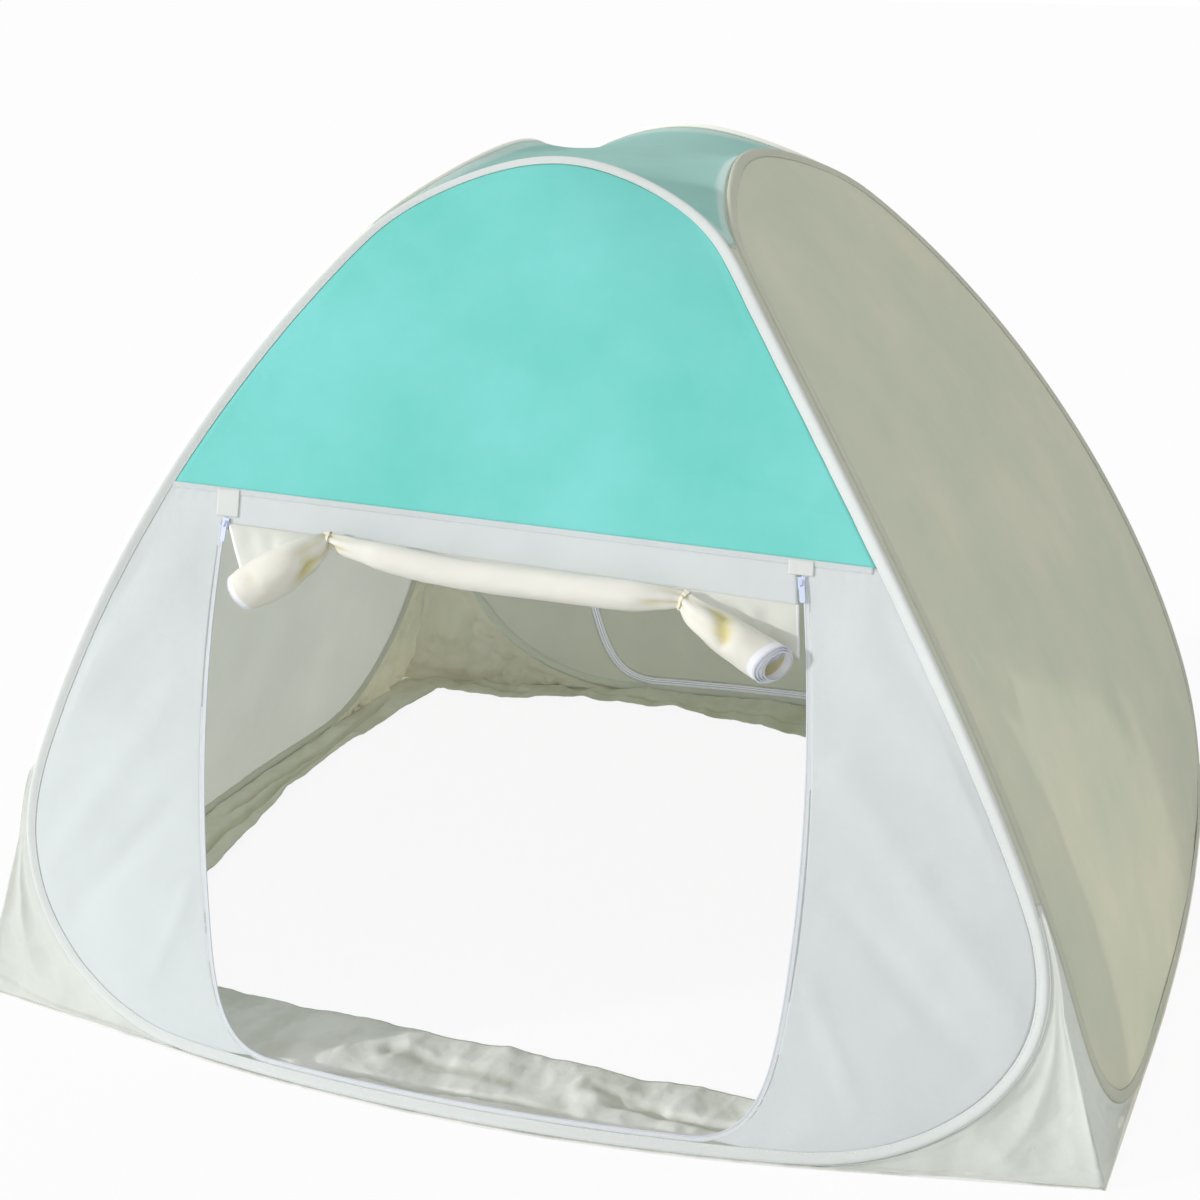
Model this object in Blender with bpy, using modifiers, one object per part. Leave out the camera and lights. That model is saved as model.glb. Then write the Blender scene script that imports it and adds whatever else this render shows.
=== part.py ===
"""A pop-up bed tent for a double bed: four sprung hoops, cloth walls between them and two zipped doors.

Metres, +Z up, origin on the floor under the middle of the tent, front door towards -Y. A wall is written
in two coordinates, u along the face and z up, and skin() puts such a point into space.
"""

import math

import bmesh
import bpy
import numpy as np
from mathutils import Matrix, Vector

# Overall shape: the four ridges where neighbouring hoops meet
RIDGE_HALF_WIDTH = 0.972
RIDGE_HALF_DEPTH = 0.890
HOOP_TOP = 1.448
SIDE_HOOP_DROP = 0.011
SHOULDER_DROP = 0.128
WIDTH_CLOSE = 0.165
DEPTH_CLOSE = 0.070
WIDTH_POWER, WIDTH_ROOT = 1.53, 0.806
DEPTH_POWER, DEPTH_ROOT = 2.90, 0.551
FLOOR_CORNER_X = 0.985
FLOOR_CORNER_Y = 0.925

# How far the walls stand out between the ridges, and how the crown leans
FRONT_SWELL = 0.180
SIDE_SWELL = 0.037
SWELL_POWER = 1.3
CROWN_START = 1.0
CROWN_SWELL = 0.39
CROWN_LEAN = -0.094
LEAN_HEIGHT = 1.40
LEAN_POWER = 1.5

# Seams and door
SEAM_HEIGHT = 0.908
HEADER_DEPTH = 0.058
ZIP_HALF_WIDTH = 0.510
ZIP_WAIST_HEIGHT = 0.560
ZIP_TAPER = 0.19
ZIP_TOP_DROP = 0.013
ZIP_SIDE_END = 0.250
ZIP_FLAT_REACH = 0.36
ZIP_CORNER_DROP = 0.14
ZIP_CORNER_RUN = 0.10

# Hoops: where the outline leaves the ridge, and where it reaches the floor
HOOP_RISE = {"front": 0.43, "right": 0.25, "back": 0.75, "left": 0.34}
HOOP_FOOT = {"front": 0.532, "right": 0.543, "back": 0.420, "left": 0.476}
FACES = ("front", "right", "back", "left")

# Sleeve, wire and ferrule
WIRE_RADIUS = 0.0020
FERRULE_BORE = 0.0023
FERRULE_RADIUS = 0.0030
FERRULE_LENGTH = 0.045
SLEEVE_WALL = 0.0012
SLEEVE_HALF = 0.0051
SLEEVE_DEPTH = 0.020
SLEEVE_MOUTH_HALF = 0.0028
SLEEVE_SETBACK = 0.0066
WIRE_SEAT = 0.0046

# Cloth and clearances
CLOTH = 0.0015
GAP = 0.0003
SEAM_GAP = 0.0004
EDGE_IN_MOUTH = 0.0185
HEADER_CLEAR = 0.0075
SKIRT_INNER = {"front": 0.790, "right": 0.905, "back": 0.895, "left": 0.905}
ROOF_LIFT = 0.00105
GUSSET_LIFT = 0.0009
GUSSET_STAND = 0.006

# Zip
TAPE_HALF = 0.0006
TAPE_WIDTH = 0.0110
BEAD_NEAR = 0.0008
BEAD_FAR = 0.0036
BEAD_HALF = 0.0013
TAPE_EDGE_GAP = 0.0009
SLIDER_DROP = 0.031
SLIDER_WIDTH = 0.0116
SLIDER_LENGTH = 0.018
SLIDER_HALF_DEPTH = 0.0040
RUN_CLEAR = 0.00035
PULL_LENGTH = 0.031
PULL_WIDTH = 0.0090
PULL_THICK = 0.0014
PULL_BAR = 0.0016
BAIL_WIDTH = 0.0024
BAIL_WALL = 0.0012
BAIL_OPENING = 0.0066
PLACKET_WIDTH = 0.040
PLACKET_LENGTH = 0.029
PLACKET_THICK = 0.0010

# Rolled door: places along its middle line as (u, drop below the header's foot, radius)
ROLL_LINE = (
    (-0.437, 0.071, 0.0400),
    (-0.394, 0.049, 0.0415),
    (-0.352, 0.025, 0.0360),
    (-0.314, 0.003, 0.0240),
    (-0.274, -0.017, 0.0130),
    (-0.228, 0.002, 0.0220),
    (-0.122, 0.016, 0.0265),
    (0.000, 0.020, 0.0270),
    (0.122, 0.021, 0.0265),
    (0.228, 0.019, 0.0240),
    (0.280, 0.002, 0.0175),
    (0.322, -0.017, 0.0130),
    (0.357, 0.026, 0.0240),
    (0.389, 0.057, 0.0330),
    (0.423, 0.084, 0.0365),
    (0.458, 0.108, 0.0365),
)
ROLL_SIDES = 12
ROLL_STEPS = 2
ROLL_WALL = 0.006
ROLL_HOLLOW = 0.035
TIE_POINTS = (4, 11)
TIE_WIDTH = 0.012
TIE_REACH = 0.0075
TIE_WALL = 0.0012
BACK_TIE_LENGTH = 0.16
BACK_TIE_PLACE = 0.30

# Counts along each hoop half: floor run, bottom corner, ridge up to the seam, ridge above it, top
FLOOR_STEPS, CORNER_STEPS, RIDGE_LOW_STEPS, RIDGE_HIGH_STEPS, TOP_STEPS = 6, 7, 3, 5, 8
SHOULDER_STEPS = 2
ZIP_STEPS, ZIP_CORNER_STEPS = 12, 5
EDGE_SIDE_STEPS = 7
ROOF_RELAX = 400

# Derived heights
HEADER_FOOT = SEAM_HEIGHT - HEADER_DEPTH
DOOR_TOP = HEADER_FOOT - SEAM_GAP
ZIP_TOP = SEAM_HEIGHT - ZIP_TOP_DROP
SLIDER_HEIGHT = ZIP_TOP - SLIDER_DROP
SHOULDER = HOOP_TOP - SHOULDER_DROP
FLOOR_LINE = CLOTH + GAP + SLEEVE_HALF * 0.31
ZIP_BOTTOM = FLOOR_LINE + EDGE_IN_MOUTH + TAPE_WIDTH
ARC_END = FLOOR_STEPS + CORNER_STEPS
SEAM_MARK = ARC_END + RIDGE_LOW_STEPS
RIDGE_END = SEAM_MARK + RIDGE_HIGH_STEPS
APEX = RIDGE_END + TOP_STEPS

# Colour, roughness and metallic value of each material
MATERIALS = {
    "teal_cloth": ((0.20, 0.72, 0.68), 0.85, 0.0),
    "white_cloth": ((0.80, 0.83, 0.82), 0.85, 0.0),
    "side_cloth": ((0.62, 0.62, 0.53), 0.88, 0.0),
    "roof_cloth": ((0.40, 0.62, 0.59), 0.85, 0.0),
    "binding": ((0.82, 0.84, 0.80), 0.80, 0.0),
    "skirt_cloth": ((0.66, 0.66, 0.56), 0.90, 0.0),
    "roll_cloth": ((0.86, 0.83, 0.68), 0.85, 0.0),
    "zip_tape": ((0.80, 0.83, 0.90), 0.70, 0.0),
    "zip_enamel": ((0.80, 0.84, 0.90), 0.40, 0.3),
    "spring_steel": ((0.45, 0.46, 0.48), 0.35, 1.0),
}


def fresh_collections():
    """Empties the scene and returns the collection of parts and that of cutters."""
    for obj in list(bpy.data.objects):
        bpy.data.objects.remove(obj)
    parts = bpy.data.collections.new("bed_tent")
    cutters = bpy.data.collections.new("cutters")
    for collection in (parts, cutters):
        bpy.context.scene.collection.children.link(collection)
    return parts, cutters


PARTS, CUTTERS = fresh_collections()


def material(name):
    """The named material, made the first time it is asked for."""
    found = bpy.data.materials.get(name)
    if found:
        return found
    colour, roughness, metallic = MATERIALS[name]
    made = bpy.data.materials.new(name)
    made.use_nodes = True
    shader = made.node_tree.nodes["Principled BSDF"]
    shader.inputs["Base Color"].default_value = (*colour, 1.0)
    shader.inputs["Roughness"].default_value = roughness
    shader.inputs["Metallic"].default_value = metallic
    return made


def add_object(name, data, finish, origin=None):
    """Links an object, with its origin moved to a world point where one is given."""
    obj = bpy.data.objects.new(name, data)
    PARTS.objects.link(obj)
    data.materials.append(material(finish))
    if origin is not None:
        data.transform(Matrix.Translation(-Vector(origin)))
        obj.location = Vector(origin)
    return obj


def unit(vector):
    return vector / np.linalg.norm(vector)


# Surface of the walls
def ridge_x(z):
    """Half width between the ridges at a height."""
    share = max(z, 0.0) / (HOOP_TOP + WIDTH_CLOSE)
    return RIDGE_HALF_WIDTH * (1 - share**WIDTH_POWER) ** WIDTH_ROOT


def ridge_y(z):
    """Half depth between the ridges at a height."""
    share = max(z, 0.0) / (HOOP_TOP + DEPTH_CLOSE)
    return RIDGE_HALF_DEPTH * (1 - share**DEPTH_POWER) ** DEPTH_ROOT


def lean(z):
    return CROWN_LEAN * (max(z, 0.0) / LEAN_HEIGHT) ** LEAN_POWER


def is_wide(face):
    return face in ("front", "back")


def skin(face, u, z):
    """The point of a wall that is u along the face and z up."""
    half, deep = (ridge_x(z), ridge_y(z)) if is_wide(face) else (ridge_y(z), ridge_x(z))
    swell = FRONT_SWELL if is_wide(face) else SIDE_SWELL
    swell *= max(0.0, 1 - max(z, 0.0) / HEADER_FOOT) ** SWELL_POWER
    if is_wide(face):
        swell += CROWN_SWELL * max(0.0, z - CROWN_START) ** 2
    out = deep + swell * (1 - (u / half) ** 2)
    x, y = {"front": (u, -out), "back": (-u, out), "right": (out, u), "left": (-out, -u)}[face]
    return np.array([x + lean(z), y, z])


def skin_normal(face, u, z):
    """Outward direction of a wall at a place."""
    step = 1e-4
    along = skin(face, u + step, z) - skin(face, u - step, z)
    up = skin(face, u, z + step) - skin(face, u, z - step)
    return unit(np.cross(along, up))


def chart(face, point):
    """The (u, z) of a point that lies on a wall."""
    x, y, z = point
    x -= lean(z)
    return np.array([{"front": x, "back": -x, "right": y, "left": -y}[face], z])


# Hoops
def hoop_half(face):
    """Outline of half a hoop in (u, z), from the middle of its floor run to its top."""
    ridge = ridge_x if is_wide(face) else ridge_y
    top = HOOP_TOP if is_wide(face) else HOOP_TOP - SIDE_HOOP_DROP
    rise, foot = HOOP_RISE[face], HOOP_FOOT[face]
    outline = [(foot * i / FLOOR_STEPS, FLOOR_LINE) for i in range(FLOOR_STEPS)]
    for i in range(CORNER_STEPS):
        turn = math.pi / 2 * (1 - i / CORNER_STEPS)
        z = rise - (rise - FLOOR_LINE) * math.sin(turn)
        outline.append((foot + (ridge(z) - SLEEVE_SETBACK - foot) * math.cos(turn), z))
    for low, high, steps in ((rise, SEAM_HEIGHT, RIDGE_LOW_STEPS), (SEAM_HEIGHT, SHOULDER, RIDGE_HIGH_STEPS)):
        for i in range(steps):
            z = low + (high - low) * i / steps
            outline.append((ridge(z) - SLEEVE_SETBACK, z))
    for i in range(TOP_STEPS + 1):
        turn = math.pi / 2 * i / TOP_STEPS
        z = SHOULDER + (top - SHOULDER) * math.sin(turn)
        outline.append(((ridge(z) - SLEEVE_SETBACK) * math.cos(turn), z))
    return outline


def hoop_rows(face):
    """Rows (point, inward, normal) all round a hoop, from the middle of its floor run."""
    half = hoop_half(face)
    outline = half + [(-u, z) for u, z in reversed(half[1:-1])]
    points = [skin(face, u, z) for u, z in outline]
    rows = []
    for i, (u, z) in enumerate(outline):
        along = unit(points[(i + 1) % len(points)] - points[i - 1])
        normal = skin_normal(face, u, z)
        inward = unit(np.cross(normal, along))
        rows.append((points[i], inward, unit(np.cross(along, inward))))
    return rows


HOOPS = {face: hoop_rows(face) for face in FACES}


def side_rows(face, side):
    """The rows of one half of a hoop, bottom to top: side +1 is towards +u."""
    rows = HOOPS[face]
    return rows[: APEX + 1] if side > 0 else [rows[-i] for i in range(APEX + 1)]


def offset(rows, inward):
    """Points set a distance inward from each row."""
    return [point + direction * inward for point, direction, _ in rows]


def between(points, low, high):
    """The stretch of an upward line between two heights, with its ends on those heights."""
    points = [np.array(point) for point in points]
    heights = [point[-1] for point in points]

    def at(height):
        for a, b in zip(points, points[1:]):
            if a[-1] <= height <= b[-1]:
                return a + (b - a) * (height - a[-1]) / (b[-1] - a[-1])
        return points[-1] if height > heights[-1] else points[0]

    inside = [p for p, z in zip(points, heights) if low + 1e-3 < z < high - 1e-3]
    return [at(low), *inside, at(high)]


def resample(points, count):
    """The same line in equal steps."""
    points = np.array(points)
    steps = np.linalg.norm(np.diff(points, axis=0), axis=1)
    reach = np.concatenate([[0], np.cumsum(steps)])
    places = np.linspace(0, reach[-1], count + 1)
    return list(np.stack([np.interp(places, reach, column) for column in points.T], axis=1))


def straight(a, b, count):
    return [np.array(a) + (np.array(b) - np.array(a)) * i / count for i in range(count + 1)]


# Makers of solids
def finished(bm, name, finish, origin=None):
    """Turns a closed bmesh into an object with its faces pointing out."""
    bmesh.ops.recalc_face_normals(bm, faces=bm.faces)
    mesh = bpy.data.meshes.new(name)
    bm.to_mesh(mesh)
    bm.free()
    obj = add_object(name, mesh, finish, origin)
    mesh.shade_smooth()
    mesh.set_sharp_from_angle(angle=math.radians(40))
    return obj


def sweep(name, rows, section, finish, closed=False, origin=None):
    """A loft of one section, given in (inward, normal), along rows."""
    bm = bmesh.new()
    rings = []
    for point, inward, normal in rows:
        rings.append([bm.verts.new(point + inward * w + normal * n) for w, n in section])
    pairs = list(zip(rings, rings[1:]))
    if closed:
        pairs.append((rings[-1], rings[0]))
    for one, two in pairs:
        for i in range(len(section)):
            j = (i + 1) % len(section)
            bm.faces.new((one[i], one[j], two[j], two[i]))
    if not closed:
        bm.faces.new(rings[0])
        bm.faces.new(rings[-1])
    return finished(bm, name, finish, origin)


def wire_loop(name, points, radius, finish):
    """A closed round wire through points."""
    curve = bpy.data.curves.new(name, "CURVE")
    curve.dimensions = "3D"
    curve.bevel_depth = radius
    curve.bevel_resolution = 1
    spline = curve.splines.new("POLY")
    spline.points.add(len(points) - 1)
    for place, point in zip(spline.points, points):
        place.co = (*point, 1.0)
    spline.use_cyclic_u = True
    return add_object(name, curve, finish)


def coons(bottom, top, left, right):
    """Rows of points inside four border lines that meet at their ends."""
    bottom, top, left, right = (np.array(line) for line in (bottom, top, left, right))
    columns, rows = len(bottom) - 1, len(left) - 1
    grid = []
    for j in range(rows + 1):
        t = j / rows
        row = []
        for i in range(columns + 1):
            s = i / columns
            ruled = (1 - t) * bottom[i] + t * top[i] + (1 - s) * left[j] + s * right[j]
            low = (1 - s) * bottom[0] + s * bottom[-1]
            high = (1 - s) * top[0] + s * top[-1]
            row.append(ruled - (1 - t) * low - t * high)
        grid.append(row)
    return grid


def cloth(name, grid, finish, thick=CLOTH, origin=None):
    """A sheet of cloth through rows of points in space, thickened to both sides."""
    columns, rows = len(grid[0]) - 1, len(grid) - 1
    bm = bmesh.new()
    bmesh.ops.create_grid(bm, x_segments=columns, y_segments=rows, size=1.0)
    for vertex in bm.verts:
        i = round((vertex.co.x + 1) / 2 * columns)
        j = round((vertex.co.y + 1) / 2 * rows)
        vertex.co = grid[j][i]
    mesh = bpy.data.meshes.new(name)
    bm.to_mesh(mesh)
    bm.free()
    obj = add_object(name, mesh, finish, origin)
    mesh.shade_smooth()
    solidify = obj.modifiers.new("thickness", "SOLIDIFY")
    solidify.thickness = thick
    solidify.offset = 0.0
    solidify.use_even_offset = True
    return obj


def wall_cloth(name, face, borders, finish, lift=0.0, thick=CLOTH, origin=None):
    """A sheet of cloth that lies in a wall, inside four border lines of (u, z)."""
    grid = [
        [skin(face, u, z) + skin_normal(face, u, z) * lift for u, z in row]
        for row in coons(*borders)
    ]
    cloth(name, grid, finish, thick, origin)


def box_mesh(name, low, high):
    """A box between two corners, as mesh data."""
    bm = bmesh.new()
    bmesh.ops.create_cube(bm, size=1.0)
    size, middle = Vector(high) - Vector(low), (Vector(high) + Vector(low)) / 2
    for vertex in bm.verts:
        vertex.co = Vector(a * b for a, b in zip(vertex.co, size)) + middle
    mesh = bpy.data.meshes.new(name)
    bm.to_mesh(mesh)
    bm.free()
    return mesh


def combined(name, base, changes):
    """The mesh of a box after Boolean steps, each (operation, low corner, high corner)."""
    obj = bpy.data.objects.new(name, box_mesh(name, *base))
    CUTTERS.objects.link(obj)
    helpers = [obj]
    for index, (operation, low, high) in enumerate(changes):
        helper = bpy.data.objects.new(f"{name}_{index}", box_mesh(name, low, high))
        CUTTERS.objects.link(helper)
        helpers.append(helper)
        step = obj.modifiers.new(operation, "BOOLEAN")
        step.operation = operation
        step.object = helper
    bpy.context.view_layer.update()
    graph = bpy.context.evaluated_depsgraph_get()
    mesh = bpy.data.meshes.new_from_object(obj.evaluated_get(graph))
    mesh.name = name
    for helper in helpers:
        bpy.data.objects.remove(helper)
    return mesh


# Frame: wires in their sleeves
def sleeve_section():
    """Wedge section, fat round the wire and open at the cloth, as (inward, normal) points."""
    fat, mouth = SLEEVE_HALF, SLEEVE_MOUTH_HALF
    inner_fat, inner_mouth = fat - SLEEVE_WALL, mouth - SLEEVE_WALL
    upper = [(0.0, fat), (SLEEVE_DEPTH, mouth), (SLEEVE_DEPTH, inner_mouth), (SLEEVE_WALL, inner_fat)]
    return upper + [(w, -n) for w, n in reversed(upper)]


def make_ferrule(face):
    """The crimped tube that joins the ends of a hoop's wire, in the middle of a straight step."""
    (first, inward, _), (second, _, _) = HOOPS[face][0], HOOPS[face][1]
    ring = [(FERRULE_BORE, -1), (FERRULE_RADIUS, -1), (FERRULE_RADIUS, 1), (FERRULE_BORE, 1)]
    mesh = bpy.data.meshes.new(f"{face}_wire_ferrule")
    mesh.from_pydata([(r, 0, -end * FERRULE_LENGTH / 2) for r, end in ring], [(0, 1), (1, 2), (2, 3), (3, 0)], [])
    obj = add_object(f"{face}_wire_ferrule", mesh, "spring_steel")
    screw = obj.modifiers.new("turn", "SCREW")
    screw.steps = screw.render_steps = 12
    screw.use_merge_vertices = True
    screw.merge_threshold = 1e-5
    obj.location = Vector((first + second) / 2 + inward * WIRE_SEAT)
    obj.rotation_mode = "QUATERNION"
    obj.rotation_quaternion = Vector(second - first).to_track_quat("Z", "X")


def make_frame():
    for face in FACES:
        rows = HOOPS[face]
        wire_loop(f"{face}_hoop_wire", offset(rows, WIRE_SEAT), WIRE_RADIUS, "spring_steel")
        sweep(f"{face}_hoop_sleeve", rows, sleeve_section(), "binding", closed=True)
        make_ferrule(face)


# Zip line of a door
def zip_u(z):
    return ZIP_HALF_WIDTH - ZIP_TAPER * (z - ZIP_WAIST_HEIGHT) ** 2


def circle_through(a, b, c):
    """Centre and axis of the circle through three points."""
    one, two = b - a, c - a
    normal = np.cross(one, two)
    centre = a + (one @ one * np.cross(two, normal) + two @ two * np.cross(normal, one)) / (2 * normal @ normal)
    return centre, unit(normal)


def turned(vector, axis, angle):
    return np.array(Matrix.Rotation(angle, 3, Vector(axis)) @ Vector(vector))


class ZipSide:
    """One side run of a door's zip: an arc of a true circle, so that its slider can turn along it."""

    def __init__(self, face, side):
        self.face, self.side = face, side
        heights = (ZIP_TOP, (ZIP_TOP + ZIP_SIDE_END) / 2, ZIP_SIDE_END)
        self.top, middle, self.end = (skin(face, side * zip_u(z), z) for z in heights)
        self.centre, self.axis = circle_through(self.top, middle, self.end)
        spoke, last = self.top - self.centre, self.end - self.centre
        self.sweep = math.acos(unit(spoke) @ unit(last))
        if np.cross(spoke, last) @ self.axis < 0:
            self.axis = -self.axis
        half = self.sweep / 2
        down = unit(np.cross(self.axis, turned(spoke, self.axis, half)))
        normal = skin_normal(face, side * zip_u(middle[2]), middle[2])
        normal = unit(normal - (normal @ down) * down)
        self.normal_at_top = turned(normal, self.axis, -half)

    def row(self, angle):
        """Point, direction away from the door and outward normal at an angle down from the top."""
        spoke = turned(self.top - self.centre, self.axis, angle)
        down = unit(np.cross(self.axis, spoke))
        normal = turned(self.normal_at_top, self.axis, angle)
        return self.centre + spoke, unit(np.cross(normal, down)) * self.side, normal

    def angle_at(self, height):
        angles = np.linspace(0, self.sweep, 200)
        heights = [self.row(angle)[0][2] for angle in angles]
        return float(np.interp(-height, -np.array(heights), angles))

    def rows(self, top_height):
        start = self.angle_at(top_height)
        steps = np.linspace(start, self.sweep, ZIP_STEPS + 1)
        return [self.row(angle) for angle in steps]


ZIPS = {(face, side): ZipSide(face, side) for face in ("front", "back") for side in (1, -1)}


def zip_foot(face):
    """The place on the floor run of the hoop where the zip's bottom run starts."""
    step = HOOP_FOOT[face] / FLOOR_STEPS
    return step * math.floor(ZIP_FLAT_REACH / step), step


def zip_low_rows(face, side):
    """Rows of the bottom corner and half the bottom run, on from the side arc."""
    start_u, start_z = chart(face, ZIPS[face, side].end)
    foot, step = zip_foot(face)
    a = np.array([abs(start_u), start_z])
    b = a + np.array([2 * ZIP_TAPER * (ZIP_WAIST_HEIGHT - start_z) * -ZIP_CORNER_DROP, -ZIP_CORNER_DROP])
    d = np.array([foot, ZIP_BOTTOM])
    c = d + np.array([ZIP_CORNER_RUN, 0])
    line = []
    for i in range(1, ZIP_CORNER_STEPS + 1):
        t = i / ZIP_CORNER_STEPS
        line.append((1 - t) ** 3 * a + 3 * (1 - t) ** 2 * t * b + 3 * (1 - t) * t * t * c + t**3 * d)
    line += [np.array([foot - step * i, ZIP_BOTTOM]) for i in range(1, round(foot / step) + 1)]
    places = [skin(face, side * u, z) for u, z in line]
    before = [ZIPS[face, side].end] + places
    after = places[1:] + [skin(face, -side * step, ZIP_BOTTOM)]
    rows = []
    for i, (u, z) in enumerate(line):
        along = unit(after[i] - before[i])
        normal = skin_normal(face, side * u, z)
        away = unit(np.cross(normal, along)) * side
        rows.append((places[i], away, normal))
    return rows


def zip_rows(face, top_height=ZIP_TOP):
    """Rows of the whole zip line, from the top of the +u side round to the top of the -u side."""
    one, two = (ZIPS[face, side].rows(top_height) + zip_low_rows(face, side) for side in (1, -1))
    return one + list(reversed(two[:-1]))


def tape_section(side):
    """Tape with its coil bead, on the wall's side (+1) or the door's side (-1) of the zip line."""
    half = [(BEAD_NEAR, BEAD_HALF), (BEAD_FAR, BEAD_HALF), (BEAD_FAR, TAPE_HALF), (TAPE_WIDTH, TAPE_HALF)]
    return [(w * side, n) for w, n in half + [(w, -n) for w, n in reversed(half)]]


def door_hinge():
    """The line that the back door turns about: in its seam to the header, at the cloth's outer face."""
    height = (HEADER_FOOT + DOOR_TOP) / 2
    return skin("back", 0.0, height) + skin_normal("back", 0.0, height) * CLOTH / 2


def make_zip_tapes():
    for face in ("front", "back"):
        sweep(f"{face}_zip_frame_tape", zip_rows(face), tape_section(1), "zip_tape")
    sweep("back_zip_door_tape", zip_rows("back", DOOR_TOP), tape_section(-1), "zip_tape", origin=door_hinge())


# Walls
def mouth_line(face, side):
    """Chart line that the cloth's edge follows inside the sleeve, bottom to top."""
    return [chart(face, p) for p in offset(side_rows(face, side), EDGE_IN_MOUTH)]


def flip(line):
    return [np.array([-u, z]) for u, z in line]


def make_side_panel(face):
    line = mouth_line(face, 1)
    lower, upper = FLOOR_STEPS, RIDGE_END + SHOULDER_STEPS
    bottom_half, top_half = line[: lower + 1], line[upper:]
    bottom = flip(bottom_half[:0:-1]) + bottom_half
    top = flip(top_half) + top_half[-2::-1]
    right = line[lower : upper + 1]
    wall_cloth(f"{face}_panel", face, (bottom, top, flip(right), right), "side_cloth")


def make_upper_panel(face, finish):
    line = mouth_line(face, 1)
    mark = RIDGE_END + SHOULDER_STEPS
    top_half = line[mark:]
    top = flip(top_half) + top_half[-2::-1]
    right = between(line[SEAM_MARK : mark + 1], SEAM_HEIGHT + SEAM_GAP, line[mark][1])
    left = flip(right)
    bottom = straight(left[0], right[0], len(top) - 1)
    wall_cloth(f"{face}_upper_panel", face, (bottom, top, left, right), finish)


def door_edge(face, side, top_height, away):
    """Chart lines beside a zip: its side run from the top down, then its corner and bottom run."""
    side_run = offset(ZIPS[face, side].rows(top_height), away)
    low_run = offset(zip_low_rows(face, side), away)
    return [chart(face, point) for point in side_run], [chart(face, point) for point in low_run]


def make_lower_panel(face, side, name):
    """The wall beside the door, from the hoop to the zip tape."""
    hoop = mouth_line(face, side)
    low = FLOOR_STEPS - 1
    outer = between(hoop[low : SEAM_MARK + 1], hoop[low][1], SEAM_HEIGHT - SEAM_GAP)
    arc, corner = door_edge(face, side, ZIP_TOP, TAPE_WIDTH + TAPE_EDGE_GAP)
    corner = corner[: ZIP_CORNER_STEPS - 1]
    above = np.array([arc[0][0], SEAM_HEIGHT - SEAM_GAP])
    inner = (resample([above, *arc], len(outer) - 1 - len(corner)) + corner)[::-1]
    left, right = (inner, outer) if side > 0 else (outer, inner)
    borders = straight(left[0], right[0], 3), straight(left[-1], right[-1], 3), left, right
    wall_cloth(name, face, borders, "white_cloth" if face == "front" else "side_cloth")


def make_header(face):
    low, high = HEADER_FOOT, SEAM_HEIGHT - SEAM_GAP
    bottom = straight((-zip_u(low) + HEADER_CLEAR, low), (zip_u(low) - HEADER_CLEAR, low), 8)
    top = straight((-zip_u(high) + HEADER_CLEAR, high), (zip_u(high) - HEADER_CLEAR, high), 8)
    borders = bottom, top, straight(bottom[0], top[0], 2), straight(bottom[-1], top[-1], 2)
    wall_cloth(f"{face}_header", face, borders, "white_cloth" if face == "front" else "side_cloth")


def make_back_door():
    """The closed door: it turns about its top seam, so its origin is there."""
    face = "back"
    turn = ZIP_CORNER_STEPS // 2
    sides, halves = [], []
    for side in (-1, 1):
        arc, low = door_edge(face, side, DOOR_TOP, -TAPE_WIDTH - TAPE_EDGE_GAP)
        sides.append((resample(arc, EDGE_SIDE_STEPS) + low[:turn])[::-1])
        halves.append(low[turn - 1 :])
    bottom = halves[0] + halves[1][-2::-1]
    top = straight(sides[0][-1], sides[1][-1], len(bottom) - 1)
    wall_cloth("back_door", face, (bottom, top, *sides), "side_cloth", origin=door_hinge())


def oblong(left, right, low, high, columns, rows):
    """Border lines of an upright oblong in a wall."""
    return (
        straight((left, low), (right, low), columns),
        straight((left, high), (right, high), columns),
        straight((left, low), (left, high), rows),
        straight((right, low), (right, high), rows),
    )


def make_plackets():
    """Doubled strips of cloth over the top ends of the front zip."""
    lift = BEAD_HALF + GAP + PLACKET_THICK / 2
    for side, name in ((1, "right"), (-1, "left")):
        middle = side * zip_u(SEAM_HEIGHT - PLACKET_LENGTH)
        low, high = SEAM_HEIGHT - PLACKET_LENGTH, SEAM_HEIGHT - SEAM_GAP
        borders = oblong(middle - PLACKET_WIDTH / 2, middle + PLACKET_WIDTH / 2, low, high, 2, 1)
        wall_cloth(f"front_placket_{name}", "front", borders, "binding", lift, PLACKET_THICK)


def make_walls():
    make_upper_panel("front", "teal_cloth")
    make_upper_panel("back", "side_cloth")
    for face in ("front", "back"):
        make_lower_panel(face, 1, f"{face}_lower_panel_{'right' if face == 'front' else 'left'}")
        make_lower_panel(face, -1, f"{face}_lower_panel_{'left' if face == 'front' else 'right'}")
        make_header(face)
    for face in ("left", "right"):
        make_side_panel(face)
    make_back_door()
    make_plackets()


# Roof, corner gussets and skirts
def corner_faces(sx, sy):
    """The wide and the narrow face that meet at a corner, each with the side of its u there."""
    wide, narrow = ("front" if sy < 0 else "back"), ("right" if sx > 0 else "left")
    wide_side = sx if wide == "front" else -sx
    narrow_side = sy if narrow == "right" else -sy
    return (wide, wide_side), (narrow, narrow_side)


def outer_line(face, side):
    """Line just outside a sleeve's outer face, where the corner's cloth is sewn on, bottom to top."""
    return offset(side_rows(face, side), -GUSSET_LIFT)


def roof_line(face, side):
    """Line along a hoop's top, just clear of the sleeve's corner that faces the roof."""
    rows = side_rows(face, side)[RIDGE_END:]
    line = []
    for i, (point, inward, normal) in enumerate(rows):
        share = min(1.0, i / SHOULDER_STEPS)
        line.append(point - inward * ROOF_LIFT - normal * SLEEVE_HALF * share)
    return line


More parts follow.
